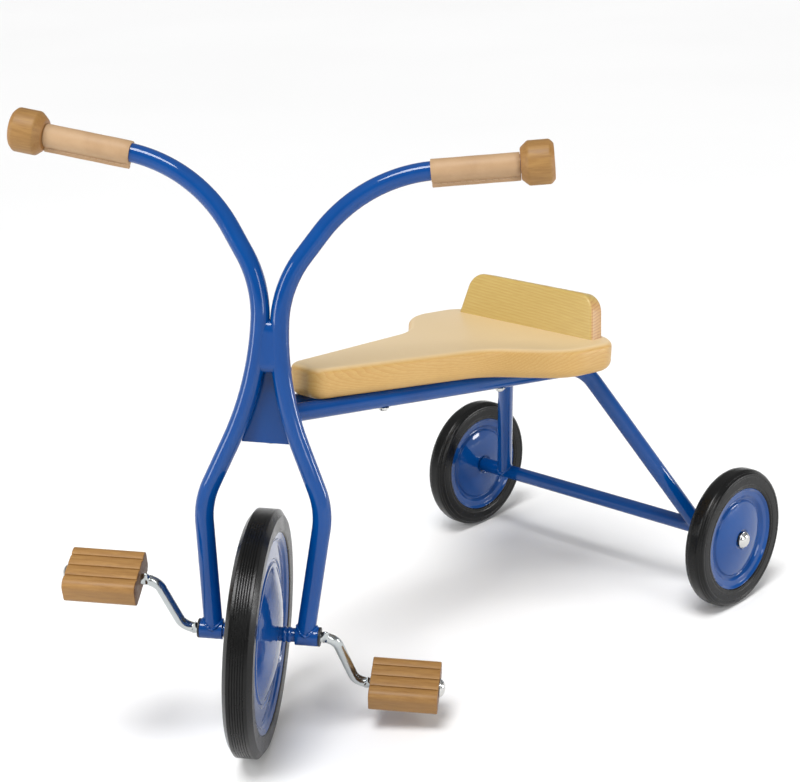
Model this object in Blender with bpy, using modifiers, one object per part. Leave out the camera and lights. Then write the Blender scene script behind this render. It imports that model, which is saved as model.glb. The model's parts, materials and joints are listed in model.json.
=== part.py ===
"""Children's tricycle with a bent-tube frame, a fork of two crossed tubes and wooden touch points.

Metres and radians. +X is forward, +Y is the rider's left, +Z is up. The frame is laid out from the
ground point midway between the rear wheels; the root empty then puts the origin on the ground under
the middle of the whole tricycle. The steering stands turned to the rider's left.
"""
import math

import bmesh
import bpy
from mathutils import Matrix, Quaternion, Vector

# --- Driving dimensions -------------------------------------------------------------------------
GAP = 0.0003                    # space left between pieces that touch
TUBE_R = 0.010                  # seat rails, legs and fork tubes
WHEELBASE = 0.612               # rear axle to front axle, wheels straight ahead
TRACK = 0.430                   # between the rear wheels' centre planes
HEAD_LEAN = math.radians(7.8)   # the steering axis leans back
REST_STEER = math.radians(39.0)
REST_CRANK = math.radians(55.0)  # the right crank points forward and up
REST_PEDAL_RIGHT = math.radians(28.0)
REST_PEDAL_LEFT = math.radians(29.0)

# Front wheel: radii from the axle, half-widths from the wheel's centre plane
FRONT_WHEEL_R = 0.1325
FRONT_TREAD_HALF = 0.0105
FRONT_TYRE_HALF = 0.0155
FRONT_SHOULDER_R = 0.1255
FRONT_RIM_R = 0.1085
FRONT_TYRE_BORE_R = 0.1000
FRONT_DOME_R = 0.0750
FRONT_DOME_HEIGHT = 0.0220
FRONT_HUB_R = 0.0075

# Rear wheels
REAR_WHEEL_R = 0.0875
REAR_TREAD_HALF = 0.0070
REAR_TYRE_HALF = 0.0132
REAR_SHOULDER_R = 0.0810
REAR_RIM_R = 0.0650
REAR_TYRE_BORE_R = 0.0580
REAR_DOME_R = 0.0485
REAR_DOME_HEIGHT = 0.0118
REAR_BUSH_R = 0.0085
REAR_BUSH_OUT = 0.0155          # hub bush, outer end beyond the wheel's centre plane
REAR_BUSH_IN = 0.0125           # hub bush, inner end
DISC_GAUGE = 0.0012
LIP_RUN = 0.0052                # a disc starts to rise to its lip this far inside the rim
LIP_WIDTH = 0.0018
RING_RISE = 0.0006
AXLE_R = 0.0055                 # rear axle rod, front axle and cranks
BUSH_CLEARANCE = 0.0003         # running clearance on the radius

# Frame
AXLE_TUBE_R = 0.0095
LEG_INSET = 0.0515              # where a leg meets the rear axle tube, inside the wheel's centre plane
LEG_SINK = 0.45                 # end of its centre line above the axle, as a share of the tube's radius
RAIL_BEND = (0.1020, 0.0619, 0.3078)    # corner between a seat rail and its leg
RAIL_FRONT_SETBACK = 0.0633     # a point near the rail's front end, behind the steering axis' foot
RAIL_FRONT_SPACE = 0.0052       # between the middle plane and the rail's side there
RAIL_FRONT_Z = 0.3553
RAIL_BEND_R = 0.045
RAIL_SETBACK = 0.010            # rail end, behind the steering axis
HEAD_TUBE_R = 0.0150
HEAD_TUBE_LENGTH = 0.0688
HEAD_TUBE_FOOT = 0.2106         # height along the steering axis above the front axle
HEAD_BUSH_R = 0.0100
HEAD_BUSH_FLANGE_R = 0.0135
HEAD_BUSH_FLANGE = 0.0020
HEAD_BUSH_DEPTH = 0.014
KINGPIN_R = 0.0060

# Seat
SEAT_THICKNESS = 0.035
SEAT_NOSE_X = 0.503
SEAT_REAR_X = 0.106
NOSE_HALF = 0.0250
WAIST_X = 0.277
WAIST_HALF = 0.0630
WING_FRONT_X = 0.2085
WING_HALF = 0.1300
SEAT_CORNER_RADII = (0.019, 0.087, 0.073, 0.043)     # nose, waist, wing front, wing rear
SEAT_EDGE_R = 0.0065
BOLT_STATIONS = (0.406, 0.235)  # seat bolts, forward of the rear axle
BOLT_R = 0.0030
BOLT_BITE = 0.024               # how far a seat bolt reaches into the board
BACKREST_X = 0.143              # foot of its front face
BACKREST_LEAN = math.radians(17.0)
BACKREST_HEIGHT = 0.0520
BACKREST_THICKNESS = 0.0215
BACKREST_FOOT_HALF = 0.107
BACKREST_TOP_HALF = 0.0950
BACKREST_CORNER_RADII = (0.008, 0.024)  # below the seat's deck, and at the top
BACKREST_EDGE_R = 0.003
SCREW_R = 0.0025
SCREW_BITE = 0.030
SCREW_SPREAD = 0.034
SCREW_SETBACK = 0.60            # behind the backrest's front face, as a share of its thickness

# Fork: forward of the steering axis, sideways, and up the steering axis from the front axle
FORK_AXLE_LEAD = 0.0360
FORK_KNEE = (0.0350, 0.0642, 0.1407)
FORK_KNEE_R = 0.088
FORK_CROSS_LEAD = 0.0340
FORK_CROSS_HEIGHT = 0.2705
FORK_CROSS_R = 0.330
BAR_ROOT = (0.0254, 0.3730)     # lead and height where the bars part again
BAR_ROOT_R = 0.120
BAR_CORNER = (-0.0052, 0.0866, 0.4865)
BAR_CORNER_R = 0.162
BAR_END = (-0.0121, 0.2730, 0.5119)
FORK_FOOT_Y = 0.0495
HOUSING_R = 0.0105
HOUSING_IN = 0.0390
HOUSING_OUT = 0.0635
HOUSING_BUSH_R = 0.0080
HOUSING_BUSH_FLANGE = 0.0020
WEB_FOOT = 0.2850
WEB_TOP = 0.3160
WEB_DEPTH = 0.0060
WEB_STATIONS = 4
WEB_SINK = 0.30                  # its lead, as a share of the way from the crossing to the bar root
YOKE_GAUGE = 0.0030
YOKE_SPACE = 0.0024              # between its plate and the fork tubes where they cross
YOKE_FOOT_HALF = 0.0270
YOKE_HEAD_HALF = 0.0215
YOKE_EAR_R = 0.0165
KINGPIN_HEAD_R = 0.0115
KINGPIN_WASHER_R = 0.0180
KINGPIN_WASHER = 0.0020
CAP_NUT_FLATS = 0.0240
CAP_NUT_HEIGHT = 0.0170

# Grips, measured back from the end of the bar
KNOB_R = 0.0230
KNOB_LENGTH = 0.0348
KNOB_PROUD = 0.0071             # knob face beyond the end of the bar
KNOB_ROUNDING = 0.0045          # its outer rim
KNOB_CHAMFER = 0.0060           # its inner rim
SLEEVE_WALL = 0.0017            # leather
SLEEVE_LENGTH = 0.0912

# Cranks and pedals
CRANK_THROW = 0.082
CRANK_ROOT_Y = 0.081            # corner where the axle turns into the crank arm
CRANK_PIN_Y = 0.101             # corner where the arm turns into the pedal pin
CRANK_BEND_R = 0.014
PEDAL_IN_Y = 0.117
PEDAL_LENGTH = 0.0755
PEDAL_DEPTH = 0.058
PEDAL_HEIGHT = 0.029
PEDAL_CORNER_R = 0.008
PEDAL_GROOVES = 3
GROOVE_WIDTH = 0.0024
GROOVE_DEPTH = 0.0020
CAP_R = 0.0105                  # push-on end caps
CAP_HEIGHT = 0.0060

# Resolution
WHEEL_STEPS = 28
ROUND_STEPS = 16
GRIP_STEPS = 24
BOLT_STEPS = 12
TUBE_SIDES = 4                  # bevel resolution of a bent tube, 12 sides

# --- Worked out from the above ------------------------------------------------------------------
STEERING_X = WHEELBASE - FORK_AXLE_LEAD * math.cos(HEAD_LEAN)
RAIL_FRONT = (STEERING_X - RAIL_FRONT_SETBACK, TUBE_R + RAIL_FRONT_SPACE, RAIL_FRONT_Z)
SEAT_SLOPE = math.atan2(RAIL_FRONT[2] - RAIL_BEND[2], RAIL_FRONT[0] - RAIL_BEND[0])
YOKE_FOOT = HEAD_TUBE_FOOT - HEAD_BUSH_FLANGE - 2 * GAP - YOKE_GAUGE
YOKE_HEAD = HEAD_TUBE_FOOT + HEAD_TUBE_LENGTH + HEAD_BUSH_FLANGE + 2 * GAP + YOKE_GAUGE
FORK_CROSS_Y = TUBE_R + GAP / 2
YOKE_PLATE_LEAD = FORK_CROSS_LEAD - TUBE_R - YOKE_SPACE
AXLE_TILT = math.asin(math.sin(HEAD_LEAN) * math.sin(REST_STEER))   # of the steered front axle


def clear_scene():
    for old in list(bpy.data.objects):
        bpy.data.objects.remove(old, do_unlink=True)


def new_collection(name):
    collection = bpy.data.collections.new(name)
    bpy.context.scene.collection.children.link(collection)
    return collection


def material(name, colour, roughness, metallic=0.0):
    made = bpy.data.materials.new(name)
    made.use_nodes = True
    shader = made.node_tree.nodes["Principled BSDF"]
    shader.inputs["Base Color"].default_value = (*colour, 1.0)
    shader.inputs["Roughness"].default_value = roughness
    shader.inputs["Metallic"].default_value = metallic
    return made


clear_scene()
PARTS = new_collection("childrens_tricycle")
CUTTERS = new_collection("cutters")
BLUE = material("blue_enamel", (0.005, 0.075, 0.32), 0.22)
RUBBER = material("black_rubber", (0.012, 0.012, 0.012), 0.55)
PINE = material("pine", (0.78, 0.58, 0.30), 0.45)
OAK = material("oiled_oak", (0.42, 0.23, 0.09), 0.5)
LEATHER = material("natural_leather", (0.72, 0.47, 0.31), 0.6)
ZINC = material("zinc_plate", (0.62, 0.64, 0.63), 0.25, 1.0)
NYLON = material("black_nylon", (0.01, 0.01, 0.01), 0.4)


# --- Placing and combining ----------------------------------------------------------------------
def empty(name, parent=None, location=(0, 0, 0), rotation=Quaternion()):
    made = bpy.data.objects.new(name, None)
    made.empty_display_size = 0.03
    PARTS.objects.link(made)
    return place(made, parent, location, rotation)


def place(made, parent, location=(0, 0, 0), rotation=Quaternion()):
    made.parent = parent
    made.location = location
    made.rotation_mode = "QUATERNION"
    made.rotation_quaternion = rotation
    return made


def turn(axis, angle):
    return Quaternion(Vector(axis), angle)


ALONG_Y = turn((1, 0, 0), -math.pi / 2)         # local Z becomes +Y
SECTION_XZ = turn((1, 0, 0), math.pi / 2)       # local X, Y become +X, +Z
SECTION_YZ = Matrix(((0, 0, 1), (1, 0, 0), (0, 1, 0))).to_quaternion()  # local X, Y become +Y, +Z


def finish(made, look, smooth_angle=math.radians(35)):
    made.data.materials.clear()
    made.data.materials.append(look)
    if made.type == "MESH":
        made.data.shade_smooth()
        made.data.set_sharp_from_angle(angle=smooth_angle)
    return made


def as_cutter(made):
    """Keep a shape out of the model: it only cuts other pieces."""
    made.hide_render = True
    made.display_type = "WIRE"
    for collection in list(made.users_collection):
        collection.objects.unlink(made)
    CUTTERS.objects.link(made)
    return made


def boolean(made, other, operation="DIFFERENCE"):
    cut = made.modifiers.new(other.name, "BOOLEAN")
    cut.operation = operation
    cut.solver = "EXACT"
    cut.object = as_cutter(other)
    return made


def curve_as_mesh(made, look):
    """Turn a curve object into a mesh object, with its caps welded on."""
    bpy.context.view_layer.update()
    evaluated = made.evaluated_get(bpy.context.evaluated_depsgraph_get())
    mesh = bpy.data.meshes.new_from_object(evaluated)
    welded = bmesh.new()
    welded.from_mesh(mesh)
    bmesh.ops.remove_doubles(welded, verts=welded.verts, dist=1e-6)
    bmesh.ops.dissolve_limit(welded, angle_limit=math.radians(0.5), verts=welded.verts, edges=welded.edges)
    bmesh.ops.recalc_face_normals(welded, faces=welded.faces)
    welded.to_mesh(mesh)
    welded.free()
    name = made.name
    parent, location, rotation = made.parent, made.location.copy(), made.rotation_quaternion.copy()
    bpy.data.objects.remove(made, do_unlink=True)
    solid = bpy.data.objects.new(name, mesh)
    PARTS.objects.link(solid)
    place(solid, parent, location, rotation)
    return finish(solid, look)


# --- Shapes -------------------------------------------------------------------------------------
def filleted(corners, radii, step=math.radians(9)):
    """Path through the corners, with an arc of the given radius at each inner corner."""
    corners = [Vector(corner) for corner in corners]
    path = [corners[0]]
    for before, corner, after, radius in zip(corners, corners[1:], corners[2:], radii):
        back = (before - corner).normalized()
        ahead = (after - corner).normalized()
        bend = math.pi - back.angle(ahead)
        reach = radius * math.tan(bend / 2)
        centre = corner + (back + ahead).normalized() * (radius / math.cos(bend / 2))
        arm = corner + back * reach - centre
        axis = arm.cross(corner + ahead * reach - centre).normalized()
        steps = max(2, math.ceil(bend / step))
        for index in range(steps + 1):
            path.append(centre + Matrix.Rotation(bend * index / steps, 3, axis) @ arm)
    path.append(corners[-1])
    return path


def bent_tube(name, path, radius, parent, look):
    curve = bpy.data.curves.new(name, "CURVE")
    curve.dimensions = "3D"
    curve.bevel_depth = radius
    curve.bevel_resolution = TUBE_SIDES
    curve.use_fill_caps = True
    spline = curve.splines.new("POLY")
    spline.points.add(len(path) - 1)
    for point, where in zip(spline.points, path):
        point.co = (*where, 1.0)
    made = bpy.data.objects.new(name, curve)
    PARTS.objects.link(made)
    place(made, parent)
    return curve_as_mesh(made, look)


def extruded(name, outline, thickness, parent, look, location=(0, 0, 0), rotation=Quaternion(), edge=0.0):
    """A flat outline in local X and Y, extruded along Z about its middle, its rims rounded by edge."""
    curve = bpy.data.curves.new(name, "CURVE")
    curve.dimensions = "2D"
    curve.fill_mode = "BOTH"
    curve.extrude = thickness / 2
    spline = curve.splines.new("POLY")
    spline.points.add(len(outline) - 1)
    for point, where in zip(spline.points, outline):
        point.co = (where[0], where[1], 0.0, 1.0)
    spline.use_cyclic_u = True
    made = bpy.data.objects.new(name, curve)
    PARTS.objects.link(made)
    place(made, parent, location, rotation)
    solid = curve_as_mesh(made, look)
    if edge:
        rounding = solid.modifiers.new("edge", "BEVEL")
        rounding.width = edge
        rounding.segments = 2
        rounding.limit_method = "ANGLE"
        rounding.angle_limit = math.radians(60)
    return solid


def turned(name, profile, parent, look, location=(0, 0, 0), rotation=ALONG_Y, steps=ROUND_STEPS,
           phase=0.0, ring=True):
    """Turn (radius, height) points about local Z. The outer side runs downwards; a ring closes up."""
    mesh = bpy.data.meshes.new(name)
    points = [(r * math.cos(phase), r * math.sin(phase), z) for r, z in profile]
    edges = [(index, index + 1) for index in range(len(points) - 1)]
    if ring:
        edges.append((len(points) - 1, 0))
    mesh.from_pydata(points, edges, [])
    made = bpy.data.objects.new(name, mesh)
    PARTS.objects.link(made)
    place(made, parent, location, rotation)
    screw = made.modifiers.new("turned", "SCREW")
    screw.steps = steps
    screw.render_steps = steps
    screw.use_merge_vertices = True
    screw.merge_threshold = 1e-5
    finish(made, look)
    return made


def sleeve(name, outer, inner, low, high, parent, look, **more):
    """A plain bush or tube between two heights along its axis."""
    return turned(name, [(outer, high), (outer, low), (inner, low), (inner, high)], parent, look, **more)


def rod(name, radius, low, high, parent, look, **more):
    """A plain solid cylinder between two heights along its axis."""
    profile = [(0, high), (radius, high), (radius, low), (0, low)]
    return turned(name, profile, parent, look, ring=False, **more)


def mirrored_outline(half):
    """Complete an outline from its half at positive Y, without the points on the middle line."""
    half = [(x, y) for x, y in half if y > 1e-6]
    return half + [(x, -y) for x, y in reversed(half)]


# --- Places that several pieces share -----------------------------------------------------------
root = empty("tricycle_origin")
rail_front = Vector(RAIL_FRONT)
rail_bend = Vector(RAIL_BEND)
axle_height = FRONT_WHEEL_R * math.cos(AXLE_TILT) + FRONT_TREAD_HALF * math.sin(AXLE_TILT)
steering_axis = empty(
    "steering_axis", root,
    (STEERING_X, 0,
     axle_height - FORK_AXLE_LEAD * math.cos(REST_STEER) * math.sin(HEAD_LEAN)),
    turn((0, 1, 0), -HEAD_LEAN) @ turn((0, 0, 1), REST_STEER))
head = empty("head", root, steering_axis.location, turn((0, 1, 0), -HEAD_LEAN))
front_axle = empty("front_axle", steering_axis, (FORK_AXLE_LEAD, 0, 0), turn((0, 1, 0), -REST_CRANK))
rear_axle = empty("rear_axle", root, (0, 0, REAR_WHEEL_R))
seat_deck = empty(
    "seat_deck", root,
    rail_bend * Vector((0, 0, 1)) + Vector((0, 0, (TUBE_R + GAP) / math.cos(SEAT_SLOPE)
                                          - rail_bend.x * math.tan(SEAT_SLOPE))),
    turn((0, 1, 0), -SEAT_SLOPE))


def on_deck(x):
    """Distance along the sloping seat deck for a distance forward of the rear axle."""
    return x / math.cos(SEAT_SLOPE)


def rail_y(x):
    """Sideways place of a seat rail at a distance forward of the rear axle."""
    share = (x - rail_bend.x) / (rail_front.x - rail_bend.x)
    return rail_bend.y + share * (rail_front.y - rail_bend.y)


# --- Frame --------------------------------------------------------------------------------------
def build_head_tube():
    low, high = HEAD_TUBE_FOOT, HEAD_TUBE_FOOT + HEAD_TUBE_LENGTH
    bore = HEAD_BUSH_R + GAP
    sleeve("head_tube", HEAD_TUBE_R, bore, low, high, head, BLUE, rotation=Quaternion())
    hole = KINGPIN_R + BUSH_CLEARANCE
    for name, seat, way in (("head_bush_lower", low, 1), ("head_bush_upper", high, -1)):
        profile = [
            (hole, -HEAD_BUSH_FLANGE - GAP), (HEAD_BUSH_FLANGE_R, -HEAD_BUSH_FLANGE - GAP),
            (HEAD_BUSH_FLANGE_R, -GAP), (HEAD_BUSH_R, -GAP), (HEAD_BUSH_R, HEAD_BUSH_DEPTH),
            (hole, HEAD_BUSH_DEPTH)]
        side = [(r, seat + way * z) for r, z in profile]
        turned(name, side[::-1] if way > 0 else side, head, NYLON, rotation=Quaternion())


def build_rails():
    along = (rail_front - rail_bend).normalized()
    head_x = head.location.x - math.tan(HEAD_LEAN) * (rail_front.z - head.location.z)
    end = rail_front + along * ((head_x - RAIL_SETBACK - rail_front.x) / along.x)
    foot = Vector((0, TRACK / 2 - LEG_INSET, REAR_WHEEL_R))
    foot += (rail_bend - foot).normalized() * (AXLE_TUBE_R * LEG_SINK)
    for side, way in (("left", 1), ("right", -1)):
        mirror = Vector((1, way, 1))
        path = filleted([end * mirror, rail_bend * mirror, foot * mirror], [RAIL_BEND_R])
        rail = bent_tube("seat_rail_" + side, path, TUBE_R, root, BLUE)
        boolean(rail, rod("head_cope_" + side, HEAD_TUBE_R + GAP, YOKE_FOOT, YOKE_HEAD, head, BLUE,
                          rotation=Quaternion()))
        boolean(rail, rod("axle_cope_" + side, AXLE_TUBE_R + GAP, -TRACK / 2, TRACK / 2, rear_axle, BLUE))
        for station, x in zip(("front", "rear"), BOLT_STATIONS):
            hole = rod(f"rail_hole_{station}_{side}", BOLT_R + GAP, -4 * TUBE_R, TUBE_R, seat_deck, ZINC,
                       location=(on_deck(x), way * rail_y(x), 0), rotation=Quaternion(), steps=BOLT_STEPS)
            boolean(rail, hole)


def build_rear_axle():
    reach = TRACK / 2 - REAR_BUSH_IN - GAP
    rod_end = TRACK / 2 + REAR_BUSH_OUT + CAP_HEIGHT / 2
    sleeve("rear_axle_tube", AXLE_TUBE_R, AXLE_R + GAP, -reach, reach, rear_axle, BLUE)
    rod("rear_axle_rod", AXLE_R, -rod_end, rod_end, rear_axle, ZINC)
    for side, way in (("left", 1), ("right", -1)):
        end_cap("rear_axle_cap_" + side, rear_axle, (0, way * (TRACK / 2 + REAR_BUSH_OUT + GAP), 0), way)


def end_cap(name, parent, location, way):
    """Domed cap pushed on a rod end; its open side faces the wheel or pedal."""
    bore = AXLE_R + GAP
    depth = CAP_HEIGHT / 2 + GAP
    profile = [(0, CAP_HEIGHT), (CAP_R * 0.45, CAP_HEIGHT * 0.9), (CAP_R * 0.85, CAP_HEIGHT * 0.5),
               (CAP_R, 0), (bore, 0), (bore, depth), (0, depth)]
    facing = ALONG_Y if way > 0 else ALONG_Y @ turn((1, 0, 0), math.pi)
    return turned(name, profile, parent, ZINC, location=location, rotation=facing, ring=False)


# --- Wheels -------------------------------------------------------------------------------------
def tyre(name, parent, radius, tread, half, shoulder, rim, bore, phase):
    """Solid tyre whose facets touch the wheel's true radius at their middles."""
    stretch = 1 / math.cos(math.pi / WHEEL_STEPS)
    seat = half * 0.5
    side = [(radius, tread), (shoulder, half), (rim, half * 0.93), (rim, seat), (bore, seat)]
    profile = [(r, z) for r, z in reversed(side)] + [(r, -z) for r, z in side]
    profile = [(r * stretch if r > rim else r, z) for r, z in profile]
    turned(name, profile, parent, RUBBER, steps=WHEEL_STEPS, phase=phase)


def disc(name, parent, way, outer, phase):
    """Pressed half of a wheel: outer gives its outside from the hub to the rim."""
    inner = [(r, z - DISC_GAUGE) for r, z in reversed(outer)]
    profile = outer + inner
    if way < 0:
        profile = [(r, -z) for r, z in reversed(profile)]
    turned(name, profile, parent, BLUE, steps=WHEEL_STEPS, phase=phase)


def pressed_profile(hub, dome, height, rim, half):
    """Outside of a pressed disc: a dome, a groove round it, a raised ring and the rim's lip."""
    low = half * 0.58
    lip = half * 0.86
    return [(hub, height), (dome * 0.5, height * 0.82 + low * 0.18), (dome, low),
            (rim - LIP_RUN, low + RING_RISE), (rim - LIP_WIDTH, lip), (rim - GAP, lip)]


def build_front_wheel():
    pitch = (math.sin(HEAD_LEAN) * math.cos(REST_STEER), math.cos(HEAD_LEAN))
    phase = REST_CRANK + math.pi / 2 + math.atan2(pitch[0], pitch[1]) + math.pi / WHEEL_STEPS
    tyre("front_tyre", front_axle, FRONT_WHEEL_R, FRONT_TREAD_HALF, FRONT_TYRE_HALF, FRONT_SHOULDER_R,
         FRONT_RIM_R, FRONT_TYRE_BORE_R, phase)
    shape = pressed_profile(FRONT_HUB_R + GAP, FRONT_DOME_R, FRONT_DOME_HEIGHT, FRONT_RIM_R, FRONT_TYRE_HALF)
    disc("front_disc_left", front_axle, 1, shape, phase)
    disc("front_disc_right", front_axle, -1, shape, phase)
    reach = HOUSING_IN - GAP
    sleeve("front_hub", FRONT_HUB_R, AXLE_R + GAP, -reach, reach, front_axle, BLUE)


def build_rear_wheels():
    shape = pressed_profile(REAR_BUSH_R + GAP, REAR_DOME_R, REAR_DOME_HEIGHT, REAR_RIM_R, REAR_TYRE_HALF)
    phase = math.pi / 2 + math.pi / WHEEL_STEPS
    for side, way in (("left", 1), ("right", -1)):
        hub = empty("rear_hub_" + side, rear_axle, (0, way * TRACK / 2, 0))
        tyre("rear_tyre_" + side, hub, REAR_WHEEL_R, REAR_TREAD_HALF, REAR_TYRE_HALF, REAR_SHOULDER_R,
             REAR_RIM_R, REAR_TYRE_BORE_R, phase)
        disc("rear_disc_outer_" + side, hub, way, shape, phase)
        disc("rear_disc_inner_" + side, hub, -way, shape, phase)
        low, high = sorted((way * REAR_BUSH_OUT, -way * REAR_BUSH_IN))
        sleeve("rear_bush_" + side, REAR_BUSH_R, AXLE_R + BUSH_CLEARANCE, low, high, hub, NYLON)


# --- Seat ---------------------------------------------------------------------------------------
def seat_outline():
    """Violin-shaped board: narrow nose, waist, and two rounded wings."""
    nose, rear = on_deck(SEAT_NOSE_X), on_deck(SEAT_REAR_X)
    corners = [(nose, 0, 0), (nose, NOSE_HALF, 0), (on_deck(WAIST_X), WAIST_HALF, 0),
               (on_deck(WING_FRONT_X), WING_HALF, 0), (rear, WING_HALF, 0), (rear, 0, 0)]
    half = filleted(corners, SEAT_CORNER_RADII, math.radians(15))
    return mirrored_outline([(point.x, point.y) for point in half])


def build_seat():
    board = extruded("seat_board", seat_outline(), SEAT_THICKNESS, seat_deck, PINE,
                     location=(0, 0, SEAT_THICKNESS / 2), edge=SEAT_EDGE_R)
    for side, way in (("left", 1), ("right", -1)):
        for station, x in zip(("front", "rear"), BOLT_STATIONS):
            where = (on_deck(x), way * rail_y(x), 0)
            hole = rod(f"board_hole_{station}_{side}", BOLT_R + GAP, -TUBE_R, BOLT_BITE + 2 * GAP, seat_deck,
                       ZINC, location=where, rotation=Quaternion(), steps=BOLT_STEPS)
            boolean(board, hole)
            seat_bolt(f"seat_bolt_{station}_{side}", where)
        where = (on_deck(BACKREST_X) - BACKREST_THICKNESS * SCREW_SETBACK, way * SCREW_SPREAD, 0)
        hole = rod("screw_hole_" + side, SCREW_R + GAP, -TUBE_R, SEAT_THICKNESS * 2, seat_deck, ZINC,
                   location=where, rotation=Quaternion(), steps=BOLT_STEPS)
        boolean(board, hole)
        backrest_screw("backrest_screw_" + side, where)


def seat_bolt(name, where):
    """Round-headed bolt up through a rail into the board."""
    under = -2 * TUBE_R - 2 * GAP
    profile = [(0, BOLT_BITE), (BOLT_R, BOLT_BITE), (BOLT_R, under), (2 * BOLT_R, under),
               (1.8 * BOLT_R, under - 0.0022), (BOLT_R, under - 0.0034), (0, under - 0.0038)]
    turned(name, profile, seat_deck, ZINC, location=where, rotation=Quaternion(), steps=BOLT_STEPS,
           ring=False)


def backrest_screw(name, where):
    """Screw up through the board into the foot of the backrest."""
    top = SEAT_THICKNESS + SCREW_BITE
    profile = [(0, top), (SCREW_R, top - 0.004), (SCREW_R, -GAP), (2 * SCREW_R, -GAP),
               (1.7 * SCREW_R, -0.0022), (0, -0.0026)]
    turned(name, profile, seat_deck, ZINC, location=where, rotation=Quaternion(), steps=BOLT_STEPS,
           ring=False)


def build_backrest():
    lean = BACKREST_LEAN - SEAT_SLOPE
    foot = empty("backrest_foot", seat_deck, (on_deck(BACKREST_X), 0, SEAT_THICKNESS + GAP),
                 turn((0, 1, 0), -lean))
    sunk = BACKREST_THICKNESS * math.tan(lean) + 0.012
    corners = [(0, -sunk, 0), (BACKREST_FOOT_HALF, -sunk, 0), (BACKREST_TOP_HALF, BACKREST_HEIGHT, 0),
               (0, BACKREST_HEIGHT, 0)]
    half = filleted(corners, BACKREST_CORNER_RADII, math.radians(15))
    outline = [(y, x) for x, y in mirrored_outline([(p.y, p.x) for p in half])][::-1]
    board = extruded("backrest", outline, BACKREST_THICKNESS, foot, PINE,
                     location=(-BACKREST_THICKNESS / 2, 0, 0), rotation=SECTION_YZ,
                     edge=BACKREST_EDGE_R)
    below = rod("backrest_trim", 2 * BACKREST_FOOT_HALF, -SEAT_THICKNESS, SEAT_THICKNESS + GAP, seat_deck,
                PINE, location=(on_deck(BACKREST_X), 0, 0), rotation=Quaternion(), steps=8)
    boolean(board, below)
    for side, way in (("left", 1), ("right", -1)):
        where = (on_deck(BACKREST_X) - BACKREST_THICKNESS * SCREW_SETBACK, way * SCREW_SPREAD, 0)
        hole = rod("backrest_hole_" + side, SCREW_R + GAP, 0, SEAT_THICKNESS + SCREW_BITE + 2 * GAP,
                   seat_deck, ZINC, location=where, rotation=Quaternion(), steps=BOLT_STEPS)
        boolean(board, hole)


# --- Fork, steering and grips -------------------------------------------------------------------
def fork_path(way):
    """Centre line of one fork tube, from the axle housing to the end of its handlebar."""
    foot = (FORK_AXLE_LEAD, FORK_FOOT_Y, HOUSING_R * 0.5)
    cross = (FORK_CROSS_LEAD, FORK_CROSS_Y, FORK_CROSS_HEIGHT)
    bar_root = (BAR_ROOT[0], FORK_CROSS_Y, BAR_ROOT[1])
    corners = [foot, FORK_KNEE, cross, bar_root, BAR_CORNER, BAR_END]
    radii = [FORK_KNEE_R, FORK_CROSS_R, BAR_ROOT_R, BAR_CORNER_R]
    return filleted([(x, way * y, z) for x, y, z in corners], radii, math.radians(6))


def build_fork():
    build_web()
    for side, way in (("left", 1), ("right", -1)):
        tube = bent_tube("fork_tube_" + side, fork_path(way), TUBE_R, steering_axis, BLUE)
        cope = rod("housing_cope_" + side, HOUSING_R + GAP, HOUSING_IN - TUBE_R, HOUSING_OUT + TUBE_R,
                   steering_axis, BLUE, location=(FORK_AXLE_LEAD, 0, 0),
                   rotation=ALONG_Y if way > 0 else ALONG_Y @ turn((1, 0, 0), math.pi))
        boolean(tube, cope)
        low, high = sorted((way * HOUSING_IN, way * HOUSING_OUT))
        lead = (FORK_AXLE_LEAD, 0, 0)
        sleeve("axle_housing_" + side, HOUSING_R, HOUSING_BUSH_R + GAP, low, high, steering_axis, BLUE,
               location=lead)
        hole = AXLE_R + BUSH_CLEARANCE
        lip = HOUSING_OUT + GAP
        profile = [(hole, lip + HOUSING_BUSH_FLANGE), (HOUSING_R, lip + HOUSING_BUSH_FLANGE),
                   (HOUSING_R, lip), (HOUSING_BUSH_R, lip), (HOUSING_BUSH_R, HOUSING_IN + GAP),
                   (hole, HOUSING_IN + GAP)]
        facing = ALONG_Y if way > 0 else ALONG_Y @ turn((1, 0, 0), math.pi)
        turned("axle_bush_" + side, profile, steering_axis, NYLON, location=lead, rotation=facing)


def build_web():
    """Filler that closes the gap between the fork tubes, just under where they touch."""
    path = fork_path(1)
    half = []
    for index in range(WEB_STATIONS + 1):
        height = WEB_FOOT + (WEB_TOP - WEB_FOOT) * index / WEB_STATIONS
        below, above = next(pair for pair in zip(path, path[1:]) if pair[1].z > height)
        middle = below.lerp(above, (height - below.z) / (above.z - below.z))
        half.append((middle.y - TUBE_R - GAP, height))
    outline = half + [(-y, height) for y, height in reversed(half)]
    lead = FORK_CROSS_LEAD - (FORK_CROSS_LEAD - BAR_ROOT[0]) * WEB_SINK
    return extruded("fork_web", outline, WEB_DEPTH, steering_axis, BLUE, location=(lead, 0, 0),
                    rotation=SECTION_YZ)


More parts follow.
